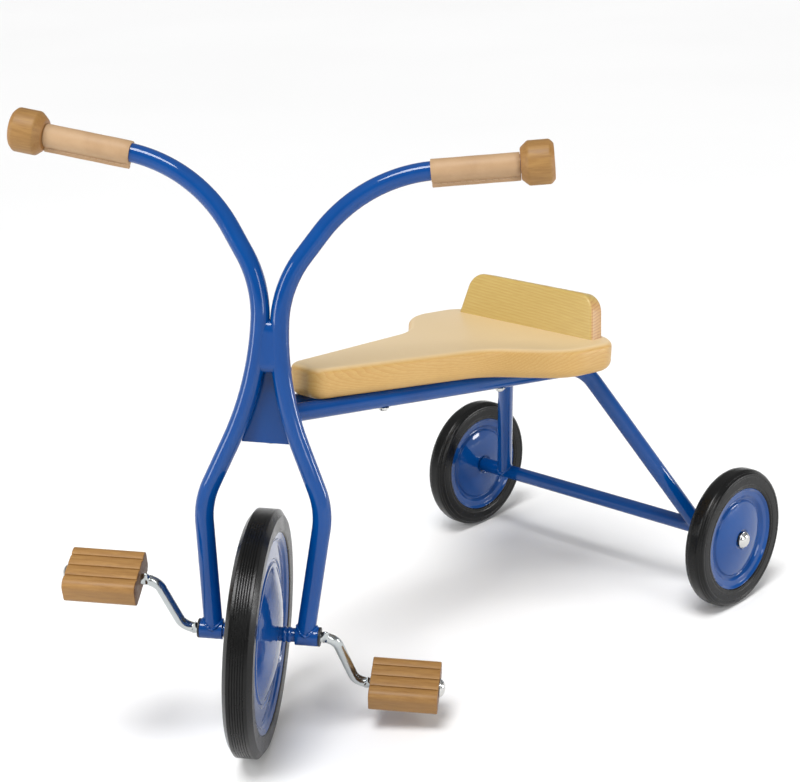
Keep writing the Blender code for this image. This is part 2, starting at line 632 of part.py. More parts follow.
def build_yoke():
    """Folded bracket behind the fork tubes that holds the kingpin at both ends."""
    lead, ear = YOKE_PLATE_LEAD, YOKE_EAR_R
    back = lead - YOKE_GAUGE
    channel = [(-ear, YOKE_FOOT), (lead, YOKE_FOOT), (lead, YOKE_HEAD), (-ear, YOKE_HEAD),
               (-ear, YOKE_HEAD - YOKE_GAUGE), (back, YOKE_HEAD - YOKE_GAUGE),
               (back, YOKE_FOOT + YOKE_GAUGE), (-ear, YOKE_FOOT + YOKE_GAUGE)]
    yoke = extruded("steering_yoke", channel, 3 * YOKE_FOOT_HALF, steering_axis, BLUE, rotation=SECTION_XZ)
    plan = [(lead + 0.01, -YOKE_FOOT_HALF), (lead + 0.01, YOKE_FOOT_HALF), (back, YOKE_FOOT_HALF)]
    arc = [math.radians(80 + 20 * index) for index in range(11)]
    plan += [(ear * math.cos(angle), ear * math.sin(angle)) for angle in arc]
    plan += [(back, -YOKE_FOOT_HALF)]
    middle = (YOKE_FOOT + YOKE_HEAD) / 2
    height = YOKE_HEAD - YOKE_FOOT
    boolean(yoke, extruded("yoke_plan", plan, 1.5 * height, steering_axis, BLUE, location=(0, 0, middle)),
            "INTERSECT")
    taper = (YOKE_FOOT_HALF - YOKE_HEAD_HALF) / height
    low, high = YOKE_FOOT - 0.01, YOKE_HEAD + 0.01
    front = [(-YOKE_FOOT_HALF - 0.01 * taper, low), (YOKE_FOOT_HALF + 0.01 * taper, low),
             (YOKE_HEAD_HALF - 0.01 * taper, high), (-YOKE_HEAD_HALF + 0.01 * taper, high)]
    boolean(yoke, extruded("yoke_taper", front, 0.2, steering_axis, BLUE, rotation=SECTION_YZ), "INTERSECT")
    boolean(yoke, rod("kingpin_hole", KINGPIN_R + GAP, YOKE_FOOT - 0.01, YOKE_HEAD + 0.01, steering_axis,
                      ZINC, rotation=Quaternion()))


def build_kingpin():
    under = YOKE_FOOT - GAP
    washer = YOKE_HEAD + GAP
    nut = washer + KINGPIN_WASHER + GAP
    top = nut + CAP_NUT_HEIGHT * 0.6
    profile = [(0, top), (KINGPIN_R, top), (KINGPIN_R, under), (KINGPIN_HEAD_R, under),
               (KINGPIN_HEAD_R * 0.85, under - 0.0035), (KINGPIN_HEAD_R * 0.45, under - 0.0052),
               (0, under - 0.0058)]
    turned("kingpin", profile, steering_axis, ZINC, rotation=Quaternion(), ring=False)
    bore = KINGPIN_R + GAP
    sleeve("kingpin_washer", KINGPIN_WASHER_R, bore, washer, washer + KINGPIN_WASHER, steering_axis, ZINC,
           rotation=Quaternion())
    dome = CAP_NUT_FLATS / 2 * 0.92
    shape = [(0, nut + CAP_NUT_HEIGHT), (dome * 0.6, nut + CAP_NUT_HEIGHT * 0.93),
             (dome, nut + CAP_NUT_HEIGHT * 0.68), (dome, nut + CAP_NUT_HEIGHT * 0.5),
             (CAP_NUT_FLATS * 0.58, nut + CAP_NUT_HEIGHT * 0.46), (CAP_NUT_FLATS * 0.58, nut),
             (bore, nut), (bore, top + GAP), (0, top + GAP)]
    cap = turned("kingpin_nut", shape, steering_axis, ZINC, rotation=Quaternion(), ring=False)
    hexagon = rod("nut_flats", CAP_NUT_FLATS / 2 / math.cos(math.pi / 6), nut - 0.01,
                  nut + CAP_NUT_HEIGHT + 0.01, steering_axis, ZINC, rotation=Quaternion(), steps=6)
    boolean(cap, hexagon, "INTERSECT")


def build_grips():
    for side, way in (("left", 1), ("right", -1)):
        end = Vector(BAR_END) * Vector((1, way, 1))
        along = end - Vector(BAR_CORNER) * Vector((1, way, 1))
        grip = empty("grip_" + side, steering_axis, end, Vector((0, 0, 1)).rotation_difference(along))
        bore = (TUBE_R + GAP) / math.cos(math.pi / GRIP_STEPS)      # its flats clear the bar
        inner = KNOB_PROUD - KNOB_LENGTH
        sleeve("grip_sleeve_" + side, bore + SLEEVE_WALL, bore, inner - GAP - SLEEVE_LENGTH, inner - GAP,
               grip, LEATHER, rotation=Quaternion(), steps=GRIP_STEPS)
        profile = [(0, KNOB_PROUD), (KNOB_R - KNOB_ROUNDING, KNOB_PROUD),
                   (KNOB_R, KNOB_PROUD - KNOB_ROUNDING), (KNOB_R, inner + KNOB_CHAMFER),
                   (KNOB_R - KNOB_CHAMFER, inner), (bore, inner), (bore, GAP), (0, GAP)]
        turned("grip_knob_" + side, profile, grip, OAK, rotation=Quaternion(), steps=GRIP_STEPS, ring=False)


# --- Cranks and pedals --------------------------------------------------------------------------
def build_cranks():
    end = PEDAL_IN_Y + PEDAL_LENGTH + GAP + CAP_HEIGHT / 2
    half = [(CRANK_THROW, -end, 0), (CRANK_THROW, -CRANK_PIN_Y, 0), (0, -CRANK_ROOT_Y, 0)]
    corners = half + [(-x, -y, z) for x, y, z in reversed(half)]
    path = filleted(corners, [CRANK_BEND_R] * 4, math.radians(15))
    bent_tube("crank_axle", path, AXLE_R, front_axle, ZINC)


def pedal_outline():
    """Block with grooves across its top and rounded corners."""
    x, z = PEDAL_DEPTH / 2, PEDAL_HEIGHT / 2
    corners = [(0, -z, 0), (x, -z, 0), (x, z, 0), (0, z, 0)]
    half = filleted(corners, [PEDAL_CORNER_R] * 2, math.radians(30))
    right = [(p.x, p.y) for p in half[1:-1]]
    pitch = PEDAL_DEPTH / (PEDAL_GROOVES + 1)
    top = []
    for index in range(PEDAL_GROOVES):
        middle = (PEDAL_GROOVES - 1 - 2 * index) * pitch / 2
        top += [(middle + GROOVE_WIDTH / 2, z), (middle, z - GROOVE_DEPTH), (middle - GROOVE_WIDTH / 2, z)]
    left = [(-px, py) for px, py in reversed(right)]
    return right + top + left


def build_pedals():
    for side, way, tilt in (("left", 1, REST_PEDAL_LEFT), ("right", -1, REST_PEDAL_RIGHT)):
        middle = PEDAL_IN_Y + PEDAL_LENGTH / 2
        pin = empty("pedal_pin_" + side, front_axle, (-way * CRANK_THROW, way * middle, 0),
                    turn((0, 1, 0), REST_CRANK + tilt))
        block = extruded("pedal_" + side, pedal_outline(), PEDAL_LENGTH, pin, OAK, rotation=SECTION_XZ)
        hole = rod("pedal_hole_" + side, AXLE_R + BUSH_CLEARANCE, -PEDAL_LENGTH, PEDAL_LENGTH, pin, ZINC)
        boolean(block, hole)
        outside = PEDAL_IN_Y + PEDAL_LENGTH + GAP
        end_cap("pedal_cap_" + side, front_axle, (-way * CRANK_THROW, way * outside, 0), way)


def centre_origin():
    """Move the root so that the origin lies on the ground under the middle of the model."""
    bpy.context.view_layer.update()
    graph = bpy.context.evaluated_depsgraph_get()
    lows, highs = Vector((math.inf,) * 3), Vector((-math.inf,) * 3)
    for made in PARTS.objects:
        if made.type != "MESH":
            continue
        evaluated = made.evaluated_get(graph)
        for vertex in evaluated.data.vertices:
            where = made.matrix_world @ vertex.co
            lows = Vector(map(min, lows, where))
            highs = Vector(map(max, highs, where))
    root.location = (-(lows.x + highs.x) / 2, -(lows.y + highs.y) / 2, -lows.z)
    bpy.context.view_layer.update()


build_head_tube()
build_rails()
build_rear_axle()
build_front_wheel()
build_rear_wheels()
build_seat()
build_backrest()
build_fork()
build_yoke()
build_kingpin()
build_grips()
build_cranks()
build_pedals()
centre_origin()
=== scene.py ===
"""Looks of the children's tricycle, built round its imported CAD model.

Lengths are in metres. A place comes from the frame's joints and mounts; the tubes' routes and the
turned profiles repeat the CAD source's dimensions.
"""
import json
import math

import bmesh
import bpy
from mathutils import Matrix, Vector


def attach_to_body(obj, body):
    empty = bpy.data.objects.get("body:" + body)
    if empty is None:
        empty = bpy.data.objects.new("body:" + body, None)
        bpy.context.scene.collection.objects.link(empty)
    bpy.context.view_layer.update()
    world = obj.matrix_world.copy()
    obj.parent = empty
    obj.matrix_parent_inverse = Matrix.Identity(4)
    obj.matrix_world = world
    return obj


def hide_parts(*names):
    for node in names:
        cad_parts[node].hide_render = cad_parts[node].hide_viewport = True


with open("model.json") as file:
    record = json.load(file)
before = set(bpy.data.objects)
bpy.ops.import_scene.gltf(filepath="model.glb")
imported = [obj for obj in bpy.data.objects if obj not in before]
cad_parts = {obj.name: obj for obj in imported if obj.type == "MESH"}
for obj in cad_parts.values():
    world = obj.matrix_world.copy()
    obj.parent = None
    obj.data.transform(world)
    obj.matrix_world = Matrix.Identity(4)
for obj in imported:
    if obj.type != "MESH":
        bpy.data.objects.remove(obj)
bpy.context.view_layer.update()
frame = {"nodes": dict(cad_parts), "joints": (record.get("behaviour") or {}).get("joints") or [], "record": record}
NODES = frame["nodes"]
JOINTS = {joint["name"]: joint for joint in frame["joints"]}
MOUNTS = {mount["name"]: mount for mount in frame["record"]["mounts"]}
SIDES = (("left", 1), ("right", -1))
Y, Z = Vector((0, 1, 0)), Vector((0, 0, 1))


# --- Frames ---------------------------------------------------------------------------------------
def axes(origin, x, y, z):
    """Matrix whose columns are the three directions and the origin."""
    made = Matrix((x, y, z)).transposed().to_4x4()
    made.translation = origin
    return made


def place(name):
    return Vector(JOINTS[name]["pos_m"])


def heading(azimuth, elevation):
    """Unit vector turned from +X towards +Y and raised from the ground, both in degrees."""
    azimuth, elevation = math.radians(azimuth), math.radians(elevation)
    return Vector((math.cos(azimuth) * math.cos(elevation), math.sin(azimuth) * math.cos(elevation),
                   math.sin(elevation)))


def add(name, data):
    """New object in the scene."""
    made = bpy.data.objects.new(name, data)
    bpy.context.scene.collection.objects.link(made)
    return made


rear_left, rear_right = place("rear_wheel_left_spin"), place("rear_wheel_right_spin")
ground = Vector((rear_left.x, (rear_left.y + rear_right.y) / 2, 0))
BASE = Matrix.Translation(ground)
REAR_AXLE = Matrix.Translation(ground + Z * rear_left.z)
steer_z = Vector(JOINTS["steering"]["axis"]).normalized()
axle_y = Vector(JOINTS["front_wheel_spin"]["axis"]).normalized()
STEER = axes(place("steering"), axle_y.cross(steer_z).normalized(), axle_y, steer_z)
head_x = Y.cross(steer_z).normalized()
HEAD = axes(place("steering"), head_x, Y, steer_z)
throw = place("right_pedal_spin") - place("left_pedal_spin")
crank_x = (throw - axle_y * throw.dot(axle_y)).normalized()
FRONT_AXLE = axes(place("front_wheel_spin"), crank_x, axle_y, crank_x.cross(axle_y))
seat_up = Vector(MOUNTS["seat_top"]["axis"]).normalized()
seat_x = Y.cross(seat_up).normalized()
SEAT_THICKNESS = 0.035
under_seat = Vector(MOUNTS["seat_top"]["pos_m"]) - seat_up * SEAT_THICKNESS
DECK = axes(under_seat - seat_x * ((under_seat.x - ground.x) / seat_x.x), seat_x, Y, seat_up)
SEAT_SLOPE = math.atan2(seat_x.z, seat_x.x)
ALONG_Y = Matrix.Rotation(-math.pi / 2, 4, "X")     # local Z becomes +Y
FACING = {1: ALONG_Y, -1: ALONG_Y @ Matrix.Rotation(math.pi, 4, "X")}


# --- Materials ------------------------------------------------------------------------------------
def fill_ramp(node, stops):
    """Give a colour ramp its stops: each a position and a colour."""
    elements = node.color_ramp.elements
    while len(elements) < len(stops):
        elements.new(0.5)
    for element, (position, colour) in zip(elements, stops):
        element.position = position
        element.color = (*colour, 1)


class Shader:
    """A material's node tree, with short ways to add and join nodes."""

    def __init__(self, name):
        self.material = bpy.data.materials.new(name)
        self.material.use_nodes = True
        self.tree = self.material.node_tree
        self.surface = self.tree.nodes["Principled BSDF"]

    def node(self, kind, links=(), **settings):
        made = self.tree.nodes.new("ShaderNode" + kind)
        for key, value in settings.items():
            setattr(made, key, value)
        for socket, value in dict(links).items():
            self.join(value, made.inputs[socket])
        return made

    def join(self, value, socket):
        if isinstance(value, bpy.types.NodeSocket):
            self.tree.links.new(value, socket)
        else:
            socket.default_value = value

    def set(self, **values):
        for key, value in values.items():
            self.join(value, self.surface.inputs[key.replace("_", " ")])

    def math(self, operation, first, second=0.0, clamp=False):
        return self.node("Math", {0: first, 1: second}, operation=operation, use_clamp=clamp).outputs[0]

    def vector(self, scale=(1, 1, 1), rotation=(0, 0, 0), location=(0, 0, 0)):
        """Object coordinates, moved, turned and stretched."""
        source = self.node("TexCoord").outputs["Object"]
        return self.node("Mapping", {"Vector": source, "Scale": scale, "Rotation": rotation,
                                     "Location": location}).outputs[0]

    def noise(self, vector, scale, detail=4.0, roughness=0.5, distortion=0.0):
        return self.node("TexNoise", {"Vector": vector, "Scale": scale, "Detail": detail,
                                      "Roughness": roughness, "Distortion": distortion}).outputs[0]

    def spread(self, value, low, high, start=0.0, end=1.0):
        return self.node("MapRange", {"Value": value, "From Min": low, "From Max": high,
                                      "To Min": start, "To Max": end}).outputs[0]

    def ramp(self, value, *stops):
        made = self.node("ValToRGB", {0: value})
        fill_ramp(made, stops)
        return made.outputs[0]

    def mix(self, factor, first, second, blend="MIX"):
        made = self.node("Mix", data_type="RGBA", blend_type=blend)
        self.join(factor, made.inputs[0])
        self.join(first if isinstance(first, bpy.types.NodeSocket) else (*first, 1), made.inputs[6])
        self.join(second if isinstance(second, bpy.types.NodeSocket) else (*second, 1), made.inputs[7])
        return made.outputs[2]

    def bump(self, height, strength, distance):
        made = self.node("Bump", {"Height": height, "Strength": strength, "Distance": distance})
        self.join(made.outputs[0], self.surface.inputs["Normal"])


def blue_enamel():
    s = Shader("blue_enamel")
    here = s.vector()
    cloud = s.noise(here, 14.0, 3.0)
    s.set(Base_Color=s.ramp(cloud, (0.3, (0.0001, 0.044, 0.200)), (0.7, (0.0002, 0.054, 0.232))))
    s.set(Roughness=s.spread(s.noise(here, 40.0), 0.3, 0.7, 0.28, 0.36))
    s.set(Coat_Weight=1.0, Coat_Roughness=0.04, Coat_IOR=1.42, Specular_IOR_Level=0.02)
    s.bump(s.noise(here, 130.0, 2.0), 0.05, 0.0004)
    return s.material


def rubber(name, fine):
    s = Shader(name)
    here = s.vector()
    cloud = s.noise(here, 22.0, 4.0)
    s.set(Base_Color=s.ramp(cloud, (0.3, (0.0024, 0.0025, 0.0025)), (0.75, (0.0050, 0.0050, 0.0049))))
    s.set(Roughness=s.spread(s.noise(here, 60.0), 0.3, 0.7, 0.20, 0.30), Specular_IOR_Level=0.24)
    s.bump(s.noise(here, fine, 3.0, 0.6), 0.14, 0.0008)
    return s.material


def metal(name, colour, roughness):
    s = Shader(name)
    here = s.vector()
    cloud = s.noise(here, 45.0, 4.0)
    pale = tuple(channel * 0.86 for channel in colour)
    s.set(Base_Color=s.ramp(cloud, (0.3, pale), (0.7, colour)), Metallic=1.0)
    s.set(Roughness=s.spread(s.noise(here, 90.0), 0.3, 0.7, roughness * 0.75, roughness * 1.35))
    s.bump(s.noise(here, 380.0, 2.0), 0.05, 0.0004)
    return s.material


def nylon():
    s = Shader("black_nylon")
    here = s.vector()
    cloud = s.noise(here, 120.0, 3.0)
    s.set(Base_Color=s.ramp(cloud, (0.3, (0.008, 0.008, 0.009)), (0.7, (0.016, 0.016, 0.017))))
    s.set(Roughness=s.spread(cloud, 0.3, 0.7, 0.35, 0.5))
    s.bump(cloud, 0.1, 0.0003)
    return s.material


def leather():
    s = Shader("natural_leather")
    here = s.vector()
    cloud = s.noise(here, 32.0, 5.0, 0.6)
    tone = s.ramp(cloud, (0.25, (0.35, 0.215, 0.108)), (0.5, (0.405, 0.258, 0.138)),
                  (0.8, (0.45, 0.30, 0.17)))
    pores = s.node("TexVoronoi", {"Vector": here, "Scale": 900.0}).outputs["Distance"]
    tone = s.mix(s.spread(pores, 0.0, 0.35, 0.16, 0.0), tone, (0.28, 0.15, 0.07))
    s.set(Base_Color=tone, Roughness=s.spread(cloud, 0.3, 0.7, 0.46, 0.6), Specular_IOR_Level=0.4)
    s.bump(s.math("ADD", pores, s.noise(here, 260.0, 3.0)), 0.16, 0.0004)
    return s.material


def thread():
    s = Shader("stitching_thread")
    twist = s.node("TexWave", {"Vector": s.vector(), "Scale": 900.0, "Distortion": 1.0}).outputs[0]
    s.set(Base_Color=s.ramp(twist, (0.2, (0.36, 0.23, 0.13)), (0.8, (0.58, 0.42, 0.28))), Roughness=0.75)
    s.bump(twist, 0.3, 0.0002)
    return s.material


def hardwood(name, along, dark, mid, pale, end):
    """Close-grained hardwood: fine fibres and pores along one axis, darker on the end grain."""
    s = Shader(name)
    stretch = [1.0 if axis == along else 9.0 for axis in "XYZ"]
    here = s.vector(stretch)
    fibre = s.noise(here, 34.0, 8.0, 0.66, 0.25)
    band = s.noise(here, 7.0, 3.0, 0.5, 0.6)
    tone = s.ramp(fibre, (0.28, dark), (0.5, mid), (0.72, pale))
    tone = s.mix(s.spread(band, 0.35, 0.7, 0.0, 0.35), tone, dark)
    pores = s.noise(s.vector([1.0 if axis == along else 26.0 for axis in "XYZ"]), 70.0, 3.0)
    tone = s.mix(s.spread(pores, 0.62, 0.74, 0.0, 0.45), tone, tuple(0.45 * c for c in dark))
    normal = s.node("SeparateXYZ", {0: s.node("TexCoord").outputs["Normal"]}).outputs[along]
    s.set(Base_Color=s.mix(s.spread(s.math("ABSOLUTE", normal), 0.55, 0.9, 0.0, 0.8), tone, end))
    s.set(Roughness=s.spread(fibre, 0.3, 0.7, 0.42, 0.56), Specular_IOR_Level=0.4)
    s.bump(s.math("ADD", fibre, pores), 0.16, 0.0005)
    return s.material


def pine_seat(knot):
    """Lacquered pine: long nested growth rings, a knot low on the near side, fainter rings on the top, and the top
    painted paler as if lit from above (painted light).
    """
    s = Shader("pine_seat")
    here = s.vector()
    pith_x, pith_z = 0.235, 0.043           # middle of the rings, above the board's top
    ring_length, ring_width, ring_gap = 6.2, 2.6, 0.0017
    knot_reach, knot_pull, warp_depth = 0.030, 0.006, 0.016
    warp = s.noise(s.vector((1.6, 5.0, 5.0)), 3.2, 3.0, 0.5)
    xyz = s.node("SeparateXYZ", {0: here}).outputs
    x = s.math("MULTIPLY", s.math("SUBTRACT", xyz[0], pith_x), 1 / ring_length)
    y = s.math("MULTIPLY", xyz[1], 1 / ring_width)
    z = s.math("SUBTRACT", xyz[2], pith_z)
    radius = s.math("SQRT", s.math("ADD", s.math("ADD", s.math("POWER", x, 2.0), s.math("POWER", y, 2.0)),
                                   s.math("POWER", z, 2.0)))
    off = s.node("VectorMath", {0: here, 1: knot}, operation="DISTANCE").outputs["Value"]
    near = s.spread(off, 0.0, knot_reach, 1.0, 0.0)
    pull = s.math("MULTIPLY", s.math("POWER", near, 2.0), knot_pull)
    radius = s.math("ADD", s.math("ADD", radius, s.math("MULTIPLY", warp, warp_depth)), pull)
    ring = s.math("FRACT", s.math("MULTIPLY", radius, 1 / ring_gap))
    late = s.math("POWER", ring, 2.2)
    fibre = s.noise(s.vector((2.0, 30.0, 30.0)), 26.0, 6.0, 0.6)
    early = s.ramp(fibre, (0.3, (0.48, 0.288, 0.083)), (0.7, (0.55, 0.345, 0.112)))
    up = s.node("SeparateXYZ", {0: s.node("TexCoord").outputs["Normal"]}).outputs[2]
    plain = s.spread(up, 0.35, 0.95, 0.62, 0.2)
    tone = s.mix(s.math("MULTIPLY", late, plain), early, (0.46, 0.235, 0.055))
    tone = s.mix(s.spread(s.noise(here, 9.0, 3.0), 0.4, 0.75, 0.0, 0.25), tone, (0.62, 0.42, 0.17))
    # Painted light: faces turned up are mixed towards a pale tone, a painted highlight that makes the top lighter
    # as if lit from above.
    tone = s.mix(s.spread(up, 0.5, 0.95, 0.0, 0.68), tone, (0.75, 0.60, 0.375))
    tone = s.mix(s.spread(off, 0.0030, 0.0062, 0.85, 0.0), tone, (0.27, 0.115, 0.035))
    s.set(Base_Color=tone, Roughness=s.spread(fibre, 0.3, 0.7, 0.40, 0.5), Specular_IOR_Level=0.42)
    s.set(Coat_Weight=0.12, Coat_Roughness=0.3)
    s.bump(s.math("ADD", s.math("MULTIPLY", late, 0.6), fibre), 0.07, 0.0004)
    return s.material


def pine_backrest():
    """Straight-grained pine, with red end grain."""
    s = Shader("pine_backrest")
    ring_gap, warp_depth = 0.0036, 0.010
    slope_along, slope_through = 0.07, 0.35
    warp = s.noise(s.vector((4.0, 1.1, 3.0)), 4.0, 3.0)
    xyz = s.node("SeparateXYZ", {0: s.vector()}).outputs
    level = s.math("ADD", s.math("ADD", xyz[2], s.math("MULTIPLY", xyz[1], slope_along)),
                   s.math("MULTIPLY", xyz[0], slope_through))
    level = s.math("ADD", level, s.math("MULTIPLY", warp, warp_depth))
    ring = s.math("FRACT", s.math("MULTIPLY", level, 1 / ring_gap))
    late = s.math("POWER", ring, 2.6)
    fibre = s.noise(s.vector((30.0, 1.6, 30.0)), 26.0, 6.0, 0.6)
    early = s.ramp(fibre, (0.3, (0.43, 0.295, 0.078)), (0.7, (0.50, 0.368, 0.115)))
    tone = s.mix(s.math("MULTIPLY", late, 0.5), early, (0.40, 0.215, 0.045))
    side = s.node("SeparateXYZ", {0: s.node("TexCoord").outputs["Normal"]}).outputs[1]
    end = s.mix(s.math("MULTIPLY", late, 0.75), (0.48, 0.285, 0.11), (0.29, 0.115, 0.038))
    tone = s.mix(s.spread(s.math("ABSOLUTE", side), 0.55, 0.85), tone, end)
    s.set(Base_Color=tone, Roughness=s.spread(fibre, 0.3, 0.7, 0.38, 0.48), Specular_IOR_Level=0.45)
    s.set(Coat_Weight=0.15, Coat_Roughness=0.25)
    s.bump(s.math("ADD", s.math("MULTIPLY", late, 0.6), fibre), 0.07, 0.0004)
    return s.material


BLUE = blue_enamel()
TREAD = rubber("black_rubber", 700.0)
BRIGHT = metal("bright_zinc", (0.50, 0.53, 0.53), 0.20)
CHROME = metal("chromed_cap", (0.68, 0.68, 0.66), 0.11)
NYLON = nylon()
LEATHER = leather()
THREAD = thread()
KNOB = hardwood("beech_knob", "Z", (0.215, 0.104, 0.025), (0.285, 0.148, 0.040), (0.36, 0.200, 0.060),
                (0.30, 0.140, 0.042))
PEDAL = hardwood("oak_pedal", "Y", (0.23, 0.111, 0.028), (0.30, 0.154, 0.043), (0.37, 0.205, 0.065),
                 (0.14, 0.055, 0.016))
SLOTS = {"blue_enamel": BLUE, "black_rubber": TREAD, "zinc_plate": BRIGHT, "black_nylon": NYLON,
         "natural_leather": LEATHER, "oiled_oak": PEDAL}


# --- Meshes ---------------------------------------------------------------------------------------
TINY = 1e-6                     # a length below this counts as nothing


def piece(name, mesh, matrix, look, body, nodes=(), sharp=math.radians(38)):
    """Put a mesh into the frame: where it is, what it looks like, what it rides on and stands for."""
    made = add(name, mesh)
    mesh.materials.append(look)
    mesh.shade_smooth()
    mesh.set_sharp_from_angle(angle=sharp)
    made.matrix_world = matrix
    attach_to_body(made, body)
    if nodes:
        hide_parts(*nodes)
    return made


def mesh_of(name, build):
    """Mesh from a function that adds its vertices and faces to a bmesh."""
    mesh = bpy.data.meshes.new(name)
    shape = bmesh.new()
    build(shape)
    bmesh.ops.recalc_face_normals(shape, faces=shape.faces)
    shape.to_mesh(mesh)
    shape.free()
    return mesh


def turns(count):
    """Evenly spaced angles round a full turn."""
    return [2 * math.pi * index / count for index in range(count)]


def bridge(shape, rings, closed=False):
    """Quads between rings of vertices; closed joins the last ring to the first."""
    for low, high in zip(rings, rings[1:] + rings[:1] if closed else rings[1:]):
        count = len(low)
        for index in range(count):
            after = (index + 1) % count
            shape.faces.new((low[index], low[after], high[after], high[index]))


def loft(shape, rings):
    """Quads between rings of vertices, and a face over each end."""
    bridge(shape, rings)
    shape.faces.new(reversed(rings[0]))
    shape.faces.new(rings[-1])


def lathe(name, profile, closed=False, steps=96, wobble=None):
    """Turn (radius, height) points about local Z; closed joins the profile's ends."""
    def build(shape):
        rings = []
        for r, z in profile:
            if r < TINY:
                rings.append([shape.verts.new((0, 0, z))])
                continue
            ring = []
            for angle in turns(steps):
                out = r + (wobble(angle) if wobble else 0)
                ring.append(shape.verts.new((out * math.cos(angle), out * math.sin(angle), z)))
            rings.append(ring)
        pairs = list(zip(rings, rings[1:]))
        if closed:
            pairs.append((rings[-1], rings[0]))
        for low, high in pairs:
            if len(low) == 1 and len(high) == 1:
                continue
            for index in range(steps):
                after = (index + 1) % steps
                if len(low) == 1:
                    shape.faces.new((low[0], high[after], high[index]))
                elif len(high) == 1:
                    shape.faces.new((low[index], low[after], high[0]))
                else:
                    shape.faces.new((low[index], low[after], high[after], high[index]))
    return mesh_of(name, build)


def filleted(corners, radii, step=math.radians(3)):
    """Path through the corners, with an arc of the given radius at each inner corner."""
    corners = [Vector(corner) for corner in corners]
    path = [corners[0]]
    for before, corner, after, radius in zip(corners, corners[1:], corners[2:], radii):
        if radius <= 0:
            path.append(corner)
            continue
        back = (before - corner).normalized()
        ahead = (after - corner).normalized()
        bend = math.pi - back.angle(ahead)
        reach = radius * math.tan(bend / 2)
        centre = corner + (back + ahead).normalized() * (radius / math.cos(bend / 2))
        arm = corner + back * reach - centre
        axis = arm.cross(corner + ahead * reach - centre).normalized()
        steps = max(2, math.ceil(bend / step))
        for index in range(steps + 1):
            path.append(centre + Matrix.Rotation(bend * index / steps, 3, axis) @ arm)
    path.append(corners[-1])
    return path


def resampled(path, spacing):
    """The same path with points no further apart than the spacing."""
    made = [path[0]]
    for low, high in zip(path, path[1:]):
        parts = max(1, math.ceil((high - low).length / spacing))
        made += [low.lerp(high, index / parts) for index in range(1, parts + 1)]
    return made


def sweep(name, path, section, side=None):
    """Carry a section along a path; section(point, side, other) gives its offsets from the path."""
    def build(shape):
        rings = []
        across = side
        for index, point in enumerate(path):
            ahead = (path[min(index + 1, len(path) - 1)] - path[max(index - 1, 0)]).normalized()
            if across is None:
                across = ahead.orthogonal().normalized()
            across = (across - ahead * across.dot(ahead)).normalized()
            offsets = section(point, across, ahead.cross(across))
            rings.append([shape.verts.new(point + offset) for offset in offsets])
        loft(shape, rings)
    return mesh_of(name, build)


def round_section(radius, sides=40):
    def section(_point, side, other):
        return [(side * math.cos(angle) + other * math.sin(angle)) * radius for angle in turns(sides)]
    return section


def tube(name, path, matrix, body, node):
    """Enamelled tube along a path."""
    mesh = sweep(name, resampled(path, 0.012), round_section(TUBE_R))
    return piece(name, mesh, matrix, BLUE, body, [node])


def uneven(angle, seed):
    """A repeatable uneven wave round a joint, between -1 and 1."""
    waves = ((0.5, 17, 1.0), (0.3, 29, 2.1), (0.2, 41, 3.7))      # height, count, share of the seed
    return sum(height * math.sin(count * angle + share * seed) for height, count, share in waves)


def weld(name, branch, along, main, main_along, main_r, matrix, body, bead, seed):
    """Bead where a branch tube meets a main tube; along points from the branch into the main tube."""
    branch, main = Vector(branch), Vector(main)
    along, main_along = Vector(along).normalized(), Vector(main_along).normalized()
    side = along.orthogonal().normalized()
    other = along.cross(side)
    branch_r = min(TUBE_R, 0.95 * main_r) + bead * 0.25
    steps, sides = 72, 10
    path = []
    for angle in turns(steps):
        start = branch + (side * math.cos(angle) + other * math.sin(angle)) * branch_r
        gap = start - main
        flat_gap = gap - main_along * gap.dot(main_along)
        flat_way = along - main_along * along.dot(main_along)
        # Where the line from start along the branch enters the main tube: a quadratic's near root.
        a, b = flat_way.dot(flat_way), 2 * flat_gap.dot(flat_way)
        c = flat_gap.dot(flat_gap) - (main_r + bead * 0.15) ** 2
        root = math.sqrt(max(b * b - 4 * a * c, 0.0))
        path.append(start + along * ((-b - root) / (2 * a)))

    def build(shape):
        rings = []
        for index, (point, angle) in enumerate(zip(path, turns(steps))):
            ahead = (path[(index + 1) % steps] - path[index - 1]).normalized()
            out = ((point - branch) - along * (point - branch).dot(along)).normalized()
            up = ahead.cross(out).normalized()
            size = bead * (1 + 0.16 * uneven(angle, seed))
            rings.append([shape.verts.new(point + (out * math.cos(turn) + up * math.sin(turn)) * size)
                          for turn in turns(sides)])
        bridge(shape, rings, closed=True)
    return piece(name, mesh_of(name, build), matrix, BLUE, body)


def rounded(profile, radius, steps=4):
    """Round the inner corners of an open (radius, height) profile."""
    path = [Vector((r, z, 0)) for r, z in profile]
    made = [profile[0]]
    for before, corner, after in zip(path, path[1:], path[2:]):
        reach = min(radius, (before - corner).length * 0.45, (after - corner).length * 0.45)
        start = corner + (before - corner).normalized() * reach
        end = corner + (after - corner).normalized() * reach
        for index in range(steps + 1):
            t = index / steps
            point = start.lerp(corner, t).lerp(corner.lerp(end, t), t)
            made.append((point.x, point.y))
    made.append(profile[-1])
    return made


def without_doubles(profile):
    made = [profile[0]]
    for point in profile[1:]:
        if math.dist(point, made[-1]) > TINY:
            made.append(point)
    return made


def turned(name, profile, matrix, look, body, nodes=(), corner=0.0006, closed=False, steps=96,
           wobble=None):
    """Turn a (radius, height) profile about local Z, with its corners rounded."""
    if closed:
        profile = profile + profile[:1]
    shaped = without_doubles(rounded(profile, corner))
    if closed:
        shaped = shaped[:-1]
    return piece(name, lathe(name, shaped, closed, steps, wobble), matrix, look, body, nodes)


